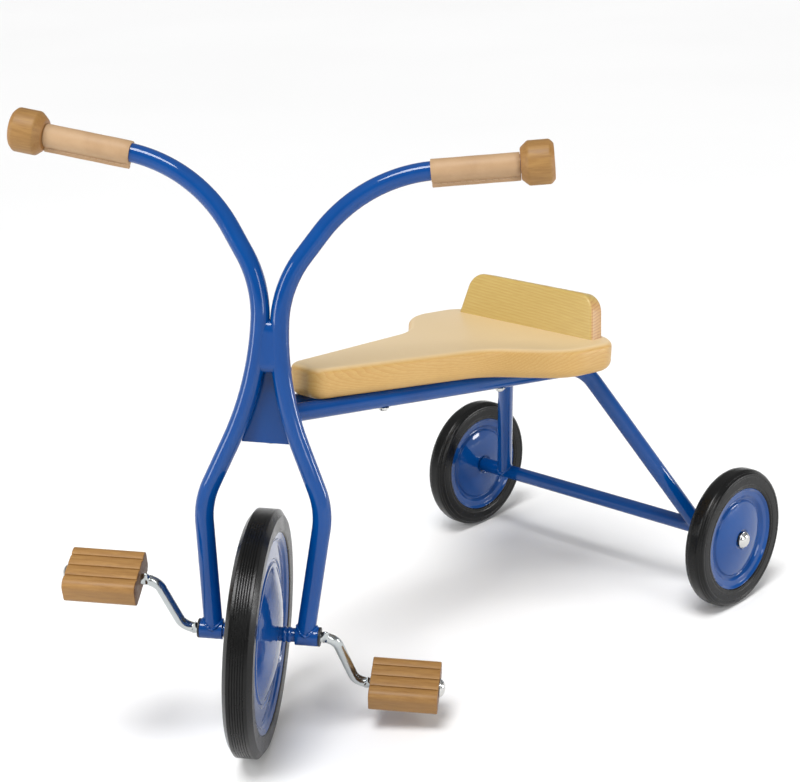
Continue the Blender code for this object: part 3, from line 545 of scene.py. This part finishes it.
# --- Dimensions that repeat the CAD source --------------------------------------------------------
GAP = 0.0003                    # space left between pieces that touch
TUBE_R, AXLE_R, AXLE_TUBE_R = 0.010, 0.0055, 0.0095
TRACK_HALF = (rear_left.y - rear_right.y) / 2
FRONT_HUB_R = 0.0075
REAR_BUSH_R, REAR_BUSH_IN, REAR_BUSH_OUT = 0.0085, 0.0125, 0.0155
LEG_FOOT_Y = 0.1635
RAIL_BEND, RAIL_FRONT, RAIL_BEND_R = (0.1020, 0.0619, 0.3078), (0.51303, 0.0152, 0.3553), 0.045
HEAD_TUBE_R, HEAD_TUBE_FOOT, HEAD_TUBE_LENGTH, HEAD_BUSH_FLANGE = 0.0150, 0.2106, 0.0688, 0.0020
KINGPIN_R, KINGPIN_HEAD_R, KINGPIN_WASHER_R, KINGPIN_WASHER = 0.0060, 0.0115, 0.0180, 0.0020
YOKE_GAUGE, CAP_NUT_FLATS = 0.0030, 0.0240
SEAT_NOSE_X, SEAT_REAR_X, NOSE_HALF = 0.503, 0.106, 0.025
WAIST_X, WAIST_HALF, WING_FRONT_X, WING_HALF = 0.277, 0.063, 0.2085, 0.1300
SEAT_CORNER_RADII = (0.019, 0.087, 0.073, 0.043)     # nose, waist, wing front, wing rear
BOLT_STATIONS = (("front", 0.406), ("rear", 0.235))
BACKREST_X, BACKREST_LEAN = 0.143, math.radians(17.0)
BACKREST_THICKNESS, BACKREST_HEIGHT = 0.0215, 0.0520
BACKREST_FOOT_HALF, BACKREST_TOP_HALF, BACKREST_CORNER_R = 0.107, 0.0950, 0.024
FORK_AXLE_LEAD, FORK_FOOT_Y = 0.0360, 0.0495
FORK_KNEE, FORK_KNEE_R = (0.0350, 0.0642, 0.1407), 0.088
FORK_CROSS, FORK_CROSS_R = (0.0340, 0.01015, 0.2705), 0.330
BAR_ROOT, BAR_ROOT_R = (0.0254, 0.01015, 0.3730), 0.120
BAR_CORNER, BAR_CORNER_R = (-0.0052, 0.0866, 0.4865), 0.162
BAR_END = (-0.0121, 0.2730, 0.5119)
HOUSING_R, HOUSING_BUSH_R, HOUSING_IN, HOUSING_OUT = 0.0105, 0.0080, 0.0390, 0.0635
KNOB_R, KNOB_LENGTH, KNOB_PROUD = 0.0230, 0.0348, 0.0071
SLEEVE_R, SLEEVE_LENGTH = 0.0120, 0.0912
CRANK_THROW, CRANK_ROOT_Y, CRANK_PIN_Y, CRANK_BEND_R = 0.082, 0.081, 0.101, 0.018
PEDAL_IN_Y, PEDAL_LENGTH, PEDAL_DEPTH, PEDAL_HEIGHT = 0.117, 0.0755, 0.058, 0.029
PEDAL_TILTS = {"left": math.radians(29), "right": math.radians(28)}


# --- Frame ----------------------------------------------------------------------------------------
def build_frame():
    wall = 0.003
    head_top = HEAD_TUBE_FOOT + HEAD_TUBE_LENGTH
    turned("head_barrel", [(HEAD_TUBE_R - wall, HEAD_TUBE_FOOT), (HEAD_TUBE_R, HEAD_TUBE_FOOT),
                           (HEAD_TUBE_R, head_top), (HEAD_TUBE_R - wall, head_top)],
           HEAD, BLUE, "frame", ["head_tube"], closed=True)
    reach = TRACK_HALF - REAR_BUSH_IN - GAP
    turned("rear_axle_pipe", [(AXLE_R + GAP, -reach), (AXLE_TUBE_R, -reach), (AXLE_TUBE_R, reach),
                              (AXLE_R + GAP, reach)],
           REAR_AXLE @ ALONG_Y, BLUE, "frame", ["rear_axle_tube"], closed=True)
    past_front, before_head, before_axle = 0.022, 0.02, 0.05
    along = (Vector(RAIL_FRONT) - Vector(RAIL_BEND)).normalized()
    front = Vector(RAIL_FRONT) + along * past_front
    head_point = BASE.inverted() @ (HEAD @ Vector((0, 0, HEAD_TUBE_FOOT)))
    head_along = BASE.to_3x3().inverted() @ steer_z
    for index, (side, way) in enumerate(SIDES):
        mirror = Vector((1, way, 1))
        foot = Vector((0, LEG_FOOT_Y, rear_left.z))
        leg = (foot - Vector(RAIL_BEND)).normalized()
        path = filleted([front * mirror, Vector(RAIL_BEND) * mirror, foot * mirror], [RAIL_BEND_R])
        tube("seat_rail_tube_" + side, path, BASE, "frame", "seat_rail_" + side)
        weld("rail_weld_" + side, Vector(RAIL_FRONT) * mirror - along * mirror * before_head,
             along * mirror, head_point, head_along, HEAD_TUBE_R, BASE, "frame", 0.0010, 1.3 + index)
        weld("leg_weld_" + side, (foot - leg * before_axle) * mirror, leg * mirror,
             (0, 0, rear_left.z), (0, 1, 0), AXLE_TUBE_R, BASE, "frame", 0.0017, 2.9 + index)


# --- Wheels ---------------------------------------------------------------------------------------
def tread_profile(radius, half, grooves, width, depth):
    """Flat tread with square-bottomed grooves, from one edge to the other."""
    made = []
    for index in range(grooves):
        middle = (index - (grooves - 1) / 2) * (2 * half / (grooves + 1))
        made += [(radius, middle - width), (radius - depth, middle - width * 0.4),
                 (radius - depth, middle + width * 0.4), (radius, middle + width)]
    return made


def build_front_wheel():
    radius, tread, half, shoulder, rim, bore = 0.1325, 0.0105, 0.0155, 0.1255, 0.1085, 0.1000
    tread_line = tread_profile(radius, tread - 0.0012, 6, 0.00052, 0.00075)
    profile = [(bore, -half * 0.5), (rim - 0.0004, -half * 0.5), (rim - 0.0004, -half * 0.90),
               (rim + 0.0018, -half * 0.955), (shoulder - 0.0006, -half), (shoulder, -half),
               (radius, -tread)] + tread_line
    profile += [(r, -y) for r, y in reversed(profile[:7])]
    turned("front_tyre_ribbed", profile, FRONT_AXLE @ ALONG_Y, TREAD, "front_wheel",
           ["front_tyre"], corner=0.0005, steps=192)
    hub, dome, top, low = FRONT_HUB_R + GAP, 0.0750, 0.0220, 0.0090
    shape = [(hub, top)]
    for share in (0.2, 0.32, 0.44, 0.56, 0.66, 0.75, 0.83, 0.9, 0.96):
        shape.append((dome * share, low + (top - low) * (1 - share ** 2.2)))
    shape += [(dome, low + 0.0012), (dome + 0.0008, low - 0.0006), (dome + 0.0035, low - 0.0008),
              (dome + 0.0050, low + 0.0006), (rim - 0.0120, low - 0.0002), (rim - 0.0095, low + 0.0004),
              (rim - 0.0070, low + 0.0030), (rim - 0.0022, half * 0.84), (rim - 0.0006, half * 0.885),
              (rim - 0.0006, half * 0.6)]
    for side, way in SIDES:
        turned("front_pressing_" + side, shape, FRONT_AXLE @ FACING[way], BLUE, "front_wheel",
               ["front_disc_" + side], corner=0.0011, steps=128)
    reach = HOUSING_IN - GAP
    pipe, bead = FRONT_HUB_R, FRONT_HUB_R + 0.0008
    collar = [(AXLE_R, -reach), (pipe, -reach)]
    for way in (-1, 1):
        spot = way * (top + 0.0075)
        collar += [(pipe, spot - 0.0045), (bead, spot - 0.0035), (bead, spot - 0.0010), (pipe, spot),
                   (pipe, spot + 0.0008), (bead, spot + 0.0018), (bead, spot + 0.0042),
                   (pipe, spot + 0.0052)]
    collar += [(pipe, reach), (AXLE_R, reach)]
    turned("front_hub_barrel", collar, FRONT_AXLE @ ALONG_Y, BLUE, "front_wheel",
           ["front_hub"], corner=0.0004, steps=64)


def build_rear_wheels():
    radius, half, shoulder, rim, bore = 0.0875, 0.0132, 0.0810, 0.0650, 0.0580
    tread = [(0.0, 0.0040), (0.0003, 0.0062), (0.0008, 0.0073), (0.0014, 0.0077), (0.0014, 0.0083),
             (0.0013, 0.0089), (0.0023, 0.0102), (0.0030, 0.0105), (0.0032, 0.0110), (0.0033, 0.0118),
             (0.0047, 0.0128)]                                     # drop below the radius, half-width
    wall = [(shoulder, 1.0), (0.0795, 1.0), (0.0788, 0.965), (0.0780, 0.985), (0.0700, 0.975),
            (0.0686, 0.93), (0.0680, 0.96), (rim + 0.0008, 0.93), (rim - 0.0003, 0.86),
            (rim - 0.0003, 0.5), (bore, 0.5)]                      # radius, share of the half-width
    arc = [(radius - drop, y) for drop, y in tread] + [(r, half * share) for r, share in wall]
    profile = arc[::-1] + [(r, -y) for r, y in arc]
    hub, dome, top, low = REAR_BUSH_R + GAP, 0.0485, 0.0142, 0.0070
    shape = [(hub, top - 0.0018), (hub + 0.0022, top - 0.0016), (hub + 0.0042, top - 0.0002)]
    for share in (0.35, 0.5, 0.62, 0.72, 0.8, 0.87, 0.93):
        shape.append((dome * share, low + (top - low) * (1 - share ** 2.1)))
    shape += [(dome * 0.97, low + 0.0004), (dome, low - 0.0018), (dome + 0.0022, low - 0.0024),
              (dome + 0.0044, low - 0.0010), (dome + 0.0064, low + 0.0010), (rim - 0.0042, low + 0.0016),
              (rim - 0.0022, half * 0.78), (rim - 0.0006, half * 0.87), (rim - 0.0006, half * 0.55)]
    for side, way in SIDES:
        body = "rear_wheel_" + side
        hub_frame = Matrix.Translation(place(body + "_spin"))
        turned(f"rear_tyre_ribbed_{side}", profile, hub_frame @ ALONG_Y, TREAD, body,
               ["rear_tyre_" + side], corner=0.0004, steps=160)
        for face, facing in (("outer", way), ("inner", -way)):
            turned(f"rear_pressing_{face}_{side}", shape, hub_frame @ FACING[facing], BLUE, body,
                   [f"rear_disc_{face}_{side}"], corner=0.0008, steps=112)
        tip = REAR_BUSH_R - 0.0006
        bush = [(AXLE_R + GAP, -REAR_BUSH_IN), (REAR_BUSH_R, -REAR_BUSH_IN), (REAR_BUSH_R, 0.0135),
                (tip, 0.0148), (tip, REAR_BUSH_OUT), (AXLE_R + GAP, REAR_BUSH_OUT)]
        turned(f"rear_hub_bush_{side}", bush, hub_frame @ FACING[way], NYLON, body,
               ["rear_bush_" + side], corner=0.0003, closed=True, steps=64)
        outside = hub_frame @ FACING[way] @ Matrix.Translation(Z * (REAR_BUSH_OUT + GAP))
        cap(f"rear_hub_cap_{side}", outside, "frame", "rear_axle_cap_" + side)


def cap(name, matrix, body, node):
    """Domed push-on cap with a pressed rim."""
    profile = [(0, 0.0060), (0.0028, 0.00585), (0.0052, 0.0053), (0.0075, 0.0042), (0.0092, 0.0025),
               (0.0100, 0.0010), (0.0105, 0.0008), (0.0105, 0.0), (AXLE_R + GAP, 0.0)]
    turned(name, profile, matrix, CHROME, body, [node], corner=0.0003, steps=72)


# --- Seat -----------------------------------------------------------------------------------------
def on_deck(x):
    return x / math.cos(SEAT_SLOPE)


def plate(name, outline, low, high, round_low, round_high, steps=6):
    """Closed flat outline extruded along local Z, its rims rounded; the outline is finely spaced."""
    count = len(outline)
    inward = []
    for index, point in enumerate(outline):
        ahead = (outline[(index + 1) % count] - outline[index - 1]).normalized()
        inward.append(Vector((-ahead.y, ahead.x)))
    levels = []
    for index in range(steps + 1):
        turn = math.pi / 2 * index / steps
        levels.append((round_low * (1 - math.sin(turn)), low + round_low * (1 - math.cos(turn))))
    for index in range(steps + 1):
        turn = math.pi / 2 * index / steps
        levels.append((round_high * (1 - math.cos(turn)), high - round_high * (1 - math.sin(turn))))

    def build(shape):
        rings = []
        for inset, z in levels:
            rings.append([shape.verts.new((*(point + way * inset), z))
                          for point, way in zip(outline, inward)])
        loft(shape, rings)
    return mesh_of(name, build)


def anticlockwise(outline):
    area = sum(a.x * b.y - b.x * a.y for a, b in zip(outline, outline[1:] + outline[:1]))
    return outline[::-1] if area < 0 else outline


def closed_outline(corners, radii, spacing=0.0025):
    """Half outline at positive second coordinate, mirrored and evenly spaced, anticlockwise."""
    half = resampled(filleted([(*corner, 0) for corner in corners], radii), spacing)
    full = [point.xy for point in half if point.y > TINY]
    full += [Vector((x, -y)) for x, y in reversed(full)]
    return anticlockwise(full)


def build_seat():
    nose, rear = on_deck(SEAT_NOSE_X), on_deck(SEAT_REAR_X)
    outline = closed_outline([(nose, 0), (nose, NOSE_HALF), (on_deck(WAIST_X), WAIST_HALF),
                              (on_deck(WING_FRONT_X), WING_HALF), (rear, WING_HALF), (rear, 0)],
                             SEAT_CORNER_RADII)
    mesh = plate("seat_plank", outline, 0.0, SEAT_THICKNESS, 0.0115, 0.0075)
    knot = (0.213, 0.101, 0.006)
    piece("seat_plank", mesh, DECK, pine_seat(knot), "frame", ["seat_board"], math.radians(50))
    below_deck, edge_r = 0.004, 0.0034
    lean = Matrix.Rotation(SEAT_SLOPE - BACKREST_LEAN, 4, "Y")
    foot = DECK @ Matrix.Translation((on_deck(BACKREST_X), 0, SEAT_THICKNESS + GAP)) @ lean
    outline = closed_outline([(-below_deck, 0), (-below_deck, BACKREST_FOOT_HALF),
                              (BACKREST_HEIGHT, BACKREST_TOP_HALF), (BACKREST_HEIGHT, 0)],
                             [0, BACKREST_CORNER_R], 0.002)
    outline = [Vector((y, z)) for z, y in outline][::-1]
    mesh = plate("backrest_plank", outline, -BACKREST_THICKNESS, 0.0, edge_r, edge_r)
    for vertex in mesh.vertices:
        vertex.co = (vertex.co.z, vertex.co.x, vertex.co.y)
    piece("backrest_plank", mesh, foot, pine_backrest(), "frame", ["backrest"], math.radians(50))
    # A domed bolt head with a small flange, under the rail.
    profile = [(0, -0.0042), (0.0022, -0.0041), (0.0042, -0.0032), (0.0052, -0.0016), (0.0054, -0.0008),
               (0.0066, -0.0007), (0.0066, 0.0006), (0.0030, 0.0006), (0.0030, 0.010)]
    for side, way in SIDES:
        for station, x in BOLT_STATIONS:
            share = (x - RAIL_BEND[0]) / (RAIL_FRONT[0] - RAIL_BEND[0])
            y = way * (RAIL_BEND[1] + share * (RAIL_FRONT[1] - RAIL_BEND[1]))
            under = DECK @ Matrix.Translation((on_deck(x), y, -2 * TUBE_R - GAP))
            turned(f"seat_bolt_{station}_{side}_head", profile, under, CHROME, "frame",
                   [f"seat_bolt_{station}_{side}"], corner=0.0002, steps=48)


# --- Fork -----------------------------------------------------------------------------------------
def fork_path(way, step=math.radians(2)):
    corners = [(FORK_AXLE_LEAD, FORK_FOOT_Y, 0.002), FORK_KNEE, FORK_CROSS, BAR_ROOT, BAR_CORNER, BAR_END]
    radii = [FORK_KNEE_R, FORK_CROSS_R, BAR_ROOT_R, BAR_CORNER_R]
    return filleted([(x, way * y, z) for x, y, z in corners], radii, step)


def build_web():
    """Brazed filler between the fork tubes, nearly flush with their fronts and rounded at its ends."""
    path = fork_path(1)
    low, high, stations = 0.2825, 0.3385, 16
    attach = math.radians(62)

    def build(shape):
        rings = []
        for index in range(stations + 1):
            share = index / stations
            height = low + (high - low) * share
            below, above = next(pair for pair in zip(path, path[1:]) if pair[1].z > height)
            centre = below.lerp(above, (height - below.z) / (above.z - below.z))
            taper = math.sqrt(max(0.0, 1 - abs(2 * share - 1) ** 6)) * 0.9 + 0.1
            half = centre.y - TUBE_R * math.cos(attach)
            ring = []
            for front in (1, -1):
                for k in range(9):
                    across = 1 - k / 4
                    bulge = TUBE_R * math.sin(attach) - 0.0009 * (1 - across * across)
                    ring.append(Vector((centre.x + front * bulge * taper, across * half * front, height)))
            rings.append([shape.verts.new(point) for point in ring])
        loft(shape, rings)
    piece("fork_braze", mesh_of("fork_braze", build), STEER, BLUE, "fork", ["fork_web"],
          math.radians(60))


def build_fork():
    build_web()
    for index, (side, way) in enumerate(SIDES):
        tube("fork_blade_" + side, fork_path(way), STEER, "fork", "fork_tube_" + side)
        bore = HOUSING_BUSH_R + GAP
        housing = [(bore, HOUSING_IN), (HOUSING_R, HOUSING_IN), (HOUSING_R, HOUSING_OUT), (bore, HOUSING_OUT)]
        lead = STEER @ Matrix.Translation((FORK_AXLE_LEAD, 0, 0))
        turned("housing_barrel_" + side, housing, lead @ FACING[way], BLUE, "fork",
               ["axle_housing_" + side], corner=0.0006, closed=True, steps=64)
        flange = HOUSING_OUT + 0.0023
        lip = [(AXLE_R + GAP, HOUSING_IN), (HOUSING_BUSH_R, HOUSING_IN), (HOUSING_BUSH_R, HOUSING_OUT + GAP),
               (HOUSING_R, HOUSING_OUT + GAP), (HOUSING_R - GAP, flange), (AXLE_R + GAP, flange)]
        turned("housing_bush_" + side, lip, lead @ FACING[way], NYLON, "fork",
               ["axle_bush_" + side], corner=0.0003, closed=True, steps=64)
        foot = Vector((FORK_AXLE_LEAD, FORK_FOOT_Y * way, 0))
        down = (foot - Vector(FORK_KNEE) * Vector((1, way, 1))).normalized()
        weld("fork_weld_" + side, foot - down * 0.04, down, (FORK_AXLE_LEAD, 0, 0), (0, 1, 0),
             HOUSING_R, STEER, "fork", 0.0015, 4.2 + index)


def hexagon(flats, round_off):
    """Wobble that turns a round section into a hexagon with the given distance across flats."""
    def wobble(angle):
        turn = (angle + math.pi / 6) % (math.pi / 3) - math.pi / 6
        return min(flats / 2 / math.cos(turn), flats / 2 * round_off) - flats / 2 * round_off
    return wobble


def build_kingpin():
    foot = HEAD_TUBE_FOOT - HEAD_BUSH_FLANGE - 2 * GAP - YOKE_GAUGE
    head = HEAD_TUBE_FOOT + HEAD_TUBE_LENGTH + HEAD_BUSH_FLANGE + 2 * GAP + YOKE_GAUGE
    pin = [(0, foot - 0.0061), (0.0045, foot - 0.0055), (0.0095, foot - 0.0036),
           (KINGPIN_HEAD_R, foot - 0.0010), (KINGPIN_HEAD_R, foot - GAP), (KINGPIN_R, foot - GAP),
           (KINGPIN_R, head + 0.0100)]
    turned("kingpin_rivet", pin, STEER, CHROME, "fork", ["kingpin"], corner=0.0005, steps=64)
    bore, under, over = KINGPIN_R + GAP, head + GAP, head + GAP + KINGPIN_WASHER
    turned("kingpin_plate_washer", [(bore, under), (KINGPIN_WASHER_R, under), (KINGPIN_WASHER_R, over),
                                    (bore, over)],
           STEER, BRIGHT, "fork", ["kingpin_washer"], corner=0.0004, closed=True, steps=72)
    nut = over + GAP
    hexagonal = [(bore, nut), (0.0138, nut), (0.0138, nut + 0.0076), (0.0120, nut + 0.0086),
                 (bore, nut + 0.0086)]
    turned("kingpin_cap_nut_hex", hexagonal, STEER, BRIGHT, "fork", corner=0.0003, steps=96,
           wobble=hexagon(CAP_NUT_FLATS, 1.13))
    dome_r, dome_foot, dome_rise, steps = 0.0110, nut + 0.0108, 0.0062, 7
    dome = [(dome_r, nut + 0.0078), (dome_r, dome_foot)]
    for k in range(1, steps):
        turn = math.pi / 2 * k / steps
        dome.append((dome_r * math.cos(turn), dome_foot + dome_rise * math.sin(turn)))
    dome.append((0.0, dome_foot + dome_rise))
    turned("kingpin_cap_nut_dome", dome, STEER, CHROME, "fork", ["kingpin_nut"], corner=0.0002,
           steps=64)


# --- Grips ----------------------------------------------------------------------------------------
def grip_frame(way):
    end = STEER @ (Vector(BAR_END) * Vector((1, way, 1)))
    along = STEER.to_3x3() @ ((Vector(BAR_END) - Vector(BAR_CORNER)) * Vector((1, way, 1)))
    along.normalize()
    down = (-Z - along * (-Z).dot(along)).normalized()
    return axes(end, down, along.cross(down), along)


def sleeve_section(flap, thickness):
    """Leather wrapped round the bar and pinched together below it into a flap; +X is down."""
    start, steps, fold = math.radians(26), 44, 0.0003
    upper = [(SLEEVE_R + flap, thickness), (SLEEVE_R + flap * 0.45, thickness),
             (SLEEVE_R * 1.04, thickness * 1.15)]
    made = [Vector(point) for point in upper]
    for index in range(steps + 1):
        angle = start + (2 * math.pi - 2 * start) * index / steps
        made.append(Vector((SLEEVE_R * math.cos(angle), SLEEVE_R * math.sin(angle))))
    made += [Vector((x, -y)) for x, y in reversed(upper)]
    made.append(Vector((SLEEVE_R + flap + fold, 0)))
    return made


def capsule(shape, start, end, radius, sides=8):
    """A stitch: a short rounded rod from start to end."""
    along = (end - start).normalized()
    side = along.orthogonal().normalized()
    other = along.cross(side)
    levels = [(-0.9, 0.35), (-0.5, 0.85), (0.0, 1.0), (1.0, 1.0), (1.5, 0.85), (1.9, 0.35)]
    rings = []
    for level, size in levels:
        if level <= 0:
            middle = start + along * radius * level
        elif level >= 1:
            middle = end + along * radius * (level - 1)
        rings.append([shape.verts.new(middle + (side * math.cos(angle) + other * math.sin(angle))
                                      * radius * size)
                      for angle in turns(sides)])
    loft(shape, rings)


def sleeve_mesh(name, low, high, phase):
    """The sleeve from low to high along the bar, turned in at both ends and a little wavy."""
    section = sleeve_section(0.0052, 0.0016)
    end_size, end_run, bands = 0.965, 0.0006, 12
    levels = [(low, end_size), (low + end_run, 1.0)]
    levels += [(low + SLEEVE_LENGTH * k / bands, 1.0) for k in range(1, bands)]
    levels += [(high - end_run, 1.0), (high, end_size)]

    def build(shape):
        rings = []
        for z, size in levels:
            wave = 1 + 0.004 * math.sin(z * 160 + phase)
            rings.append([shape.verts.new((p.x * size * wave, p.y * size, z)) for p in section])
        loft(shape, rings)
    return mesh_of(name, build)


def stitching_mesh(name, low):
    """A row of stitches along each face of the sleeve's flap."""
    count, margin, proud, thread_r = 13, 0.003, 0.0018, 0.00046
    pitch = (SLEEVE_LENGTH - 2 * margin) / count

    def build(shape):
        for index in range(count):
            z = low + margin + pitch * index
            for y in (proud, -proud):
                capsule(shape, Vector((SLEEVE_R + 0.0012, y, z + pitch * 0.12)),
                        Vector((SLEEVE_R + 0.0019, y, z + pitch * 0.78)), thread_r)
    return mesh_of(name, build)


def build_grips():
    inner = KNOB_PROUD - KNOB_LENGTH
    low, high = inner - GAP - SLEEVE_LENGTH, inner - GAP
    rounding, chamfer, chamfer_run = 0.0045, 0.0068, 0.0078
    knob = [(0, KNOB_PROUD), (KNOB_R - rounding, KNOB_PROUD), (KNOB_R, KNOB_PROUD - rounding),
            (KNOB_R, inner + chamfer_run), (KNOB_R - chamfer, inner), (TUBE_R, inner)]
    for side, way in SIDES:
        grip = grip_frame(way)
        piece("grip_leather_" + side, sleeve_mesh("grip_leather_" + side, low, high, way), grip, LEATHER,
              "fork", ["grip_sleeve_" + side], math.radians(42))
        piece("grip_stitching_" + side, stitching_mesh("grip_stitching_" + side, low), grip, THREAD,
              "fork", (), math.radians(60))
        turned("grip_end_" + side, knob, grip, KNOB, "fork", ["grip_knob_" + side],
               corner=0.0016, steps=112)


# --- Cranks and pedals ----------------------------------------------------------------------------
def crank_section(point, side, other):
    """Round rod, pinched flat into ears beside the front hub and beside each pedal."""
    ear_half, straight_within, sides = 0.0021, 0.004, 36
    pinch = 0.0
    for ear, off_axis in ((0.0700, 0.0), (0.1125, CRANK_THROW)):
        if abs(abs(point.x) - off_axis) < straight_within:
            gap = abs(abs(point.y) - ear)
            pinch = max(pinch, math.exp(-(gap / ear_half) ** 4))
    ring = []
    for angle in turns(sides):
        wide = AXLE_R * (1 + 0.78 * pinch * abs(math.cos(angle)) ** 1.2)
        flat = AXLE_R * (1 - 0.22 * pinch)
        ring.append(other * math.cos(angle) * wide + side * math.sin(angle) * flat)
    return ring


def build_cranks():
    end = PEDAL_IN_Y + PEDAL_LENGTH + 0.003
    half = [(CRANK_THROW, -end, 0), (CRANK_THROW, -CRANK_PIN_Y, 0), (0, -CRANK_ROOT_Y, 0)]
    corners = half + [(-x, -y, z) for x, y, z in reversed(half)]
    path = resampled(filleted(corners, [CRANK_BEND_R] * 4, math.radians(5)), 0.0012)
    piece("crank_rod", sweep("crank_rod", path, crank_section, Z.copy()), FRONT_AXLE, BRIGHT,
          "front_wheel", ["crank_axle"], math.radians(50))
    for side, way in SIDES:
        spot = (-way * CRANK_THROW, way * (PEDAL_IN_Y + PEDAL_LENGTH + GAP), 0)
        cap("pedal_end_cap_" + side, FRONT_AXLE @ Matrix.Translation(spot) @ FACING[way], "front_wheel",
            "pedal_cap_" + side)


def pedal_section():
    """Block with a slightly crowned top cut into slats by three grooves; X is depth and Y is up."""
    x, z, corner = PEDAL_DEPTH / 2, PEDAL_HEIGHT / 2, 0.008
    path = filleted([(0, -z, 0), (x, -z, 0), (x, z, 0), (0, z, 0)], [corner, corner], math.radians(9))
    right = [(p.x, p.y) for p in resampled(path, 0.003)[1:-1] if p.x > x - corner - TINY or p.y < 0]
    top = []
    grooves = 3
    pitch = PEDAL_DEPTH / (grooves + 1)
    for index in range(grooves):
        middle = (1 - index) * pitch
        top += [(middle + 0.0034, z - 0.0001), (middle + 0.0012, z - 0.0007), (middle + 0.0007, z - 0.0022),
                (middle - 0.0005, z - 0.0022), (middle - 0.0009, z - 0.0006), (middle - 0.0028, z)]
        if index < grooves - 1:
            top.append((middle - pitch / 2 + 0.0005, z))
    left = [(-a, b) for a, b in reversed(right)]
    return anticlockwise([Vector(point) for point in right + top + left])


def build_pedals():
    outline = pedal_section()
    half, edge_r = PEDAL_LENGTH / 2, 0.0010
    for side, _way in SIDES:
        here = (STEER.to_3x3() @ Matrix.Rotation(PEDAL_TILTS[side], 3, "Y")).to_4x4()
        here.translation = place(side + "_pedal_spin")
        mesh = plate("pedal_block_" + side, outline, -half, half, edge_r, edge_r, 4)
        for vertex in mesh.vertices:
            vertex.co = (vertex.co.x, -vertex.co.z, vertex.co.y)
        piece("pedal_block_" + side, mesh, here, PEDAL, side + "_pedal", ["pedal_" + side],
              math.radians(34))


# --- Stage ----------------------------------------------------------------------------------------
def build_stage():
    mesh = bpy.data.meshes.new("floor")
    reach = 14.0
    mesh.from_pydata([(-reach, -reach, 0), (reach, -reach, 0), (reach, reach, 0), (-reach, reach, 0)], [],
                     [(0, 1, 2, 3)])
    floor = add("floor", mesh)
    s = Shader("pale_floor")
    cloud = s.noise(s.vector(), 0.6, 2.0)
    s.set(Base_Color=s.ramp(cloud, (0.3, (0.90, 0.90, 0.90)), (0.7, (0.92, 0.92, 0.92))), Roughness=0.9)
    s.set(Specular_IOR_Level=0.1)
    mesh.materials.append(s.material)


def area_light(name, where, target, size, power):
    light = bpy.data.lights.new(name, "AREA")
    light.shape = "RECTANGLE"
    light.size, light.size_y = size
    light.energy = power
    made = add(name, light)
    made.location = where
    made.rotation_euler = (Vector(target) - Vector(where)).to_track_quat("-Z", "Y").to_euler()


def build_light():
    world = bpy.data.worlds.new("studio")
    bpy.context.scene.world = world
    world.use_nodes = True
    tree = world.node_tree
    up = tree.nodes.new("ShaderNodeSeparateXYZ")
    source = tree.nodes.new("ShaderNodeTexCoord")
    tree.links.new(source.outputs["Generated"], up.inputs[0])
    ramp = tree.nodes.new("ShaderNodeValToRGB")
    levels = ((0.0, 0.90), (0.13, 0.90), (0.26, 0.15), (0.9, 0.50))      # height in the sky, brightness
    fill_ramp(ramp, [(height, (grey, grey, grey)) for height, grey in levels])
    tree.links.new(up.outputs[2], ramp.inputs[0])
    background = tree.nodes["Background"]
    tree.links.new(ramp.outputs[0], background.inputs["Color"])
    background.inputs["Strength"].default_value = 1.0
    sun = bpy.data.lights.new("overhead_glow", "SUN")
    sun.energy = 2.35
    sun.angle = math.radians(24)
    add("overhead_glow", sun).rotation_euler = heading(28, 64).to_track_quat("Z", "Y").to_euler()
    middle = (0, 0, 0.3)
    area_light("front_left_softbox", (1.9, -0.7, 1.15), middle, (0.60, 1.3), 18)
    area_light("side_softbox", (0.3, 2.3, 1.2), middle, (0.60, 1.3), 16)
    area_light("window", (-2.0, 2.0, 0.42), (-0.3, 0.2, 0.1), (0.45, 0.45), 14)


def build_camera():
    """Seen from the front and the rider's left, a little from above."""
    target = ground + Vector((0.2548, -0.00495, 0.28584))
    distance, roll = 2.03798, math.radians(-2.34)
    back = heading(43.63, 18.97)
    level = (-back).cross(Z).normalized()
    above = level.cross(-back)
    right = level * math.cos(roll) + above * math.sin(roll)
    data = bpy.data.cameras.new("camera")
    data.sensor_width = 36
    data.lens = 77.267
    data.shift_x = -0.0722
    data.shift_y = 0.01809
    camera = add("camera", data)
    camera.matrix_world = axes(target + back * distance, right, back.cross(right), back)
    bpy.context.scene.camera = camera


def look_of(name):
    materials = NODES[name].data.materials
    slot = materials[0].name.split(".")[0] if materials else ""
    return next((look for key, look in SLOTS.items() if slot.startswith(key)), BRIGHT)


def dress_remaining_nodes():
    """Better materials for the CAD nodes that are shown as they are."""
    for name, node in NODES.items():
        if not node.hide_render:
            look = look_of(name)
            node.data.materials.clear()
            node.data.materials.append(look)


build_camera()
build_stage()
build_light()
build_frame()
build_front_wheel()
build_rear_wheels()
build_seat()
build_fork()
build_kingpin()
build_grips()
build_cranks()
build_pedals()
dress_remaining_nodes()
bpy.context.scene.view_settings.view_transform = "Standard"
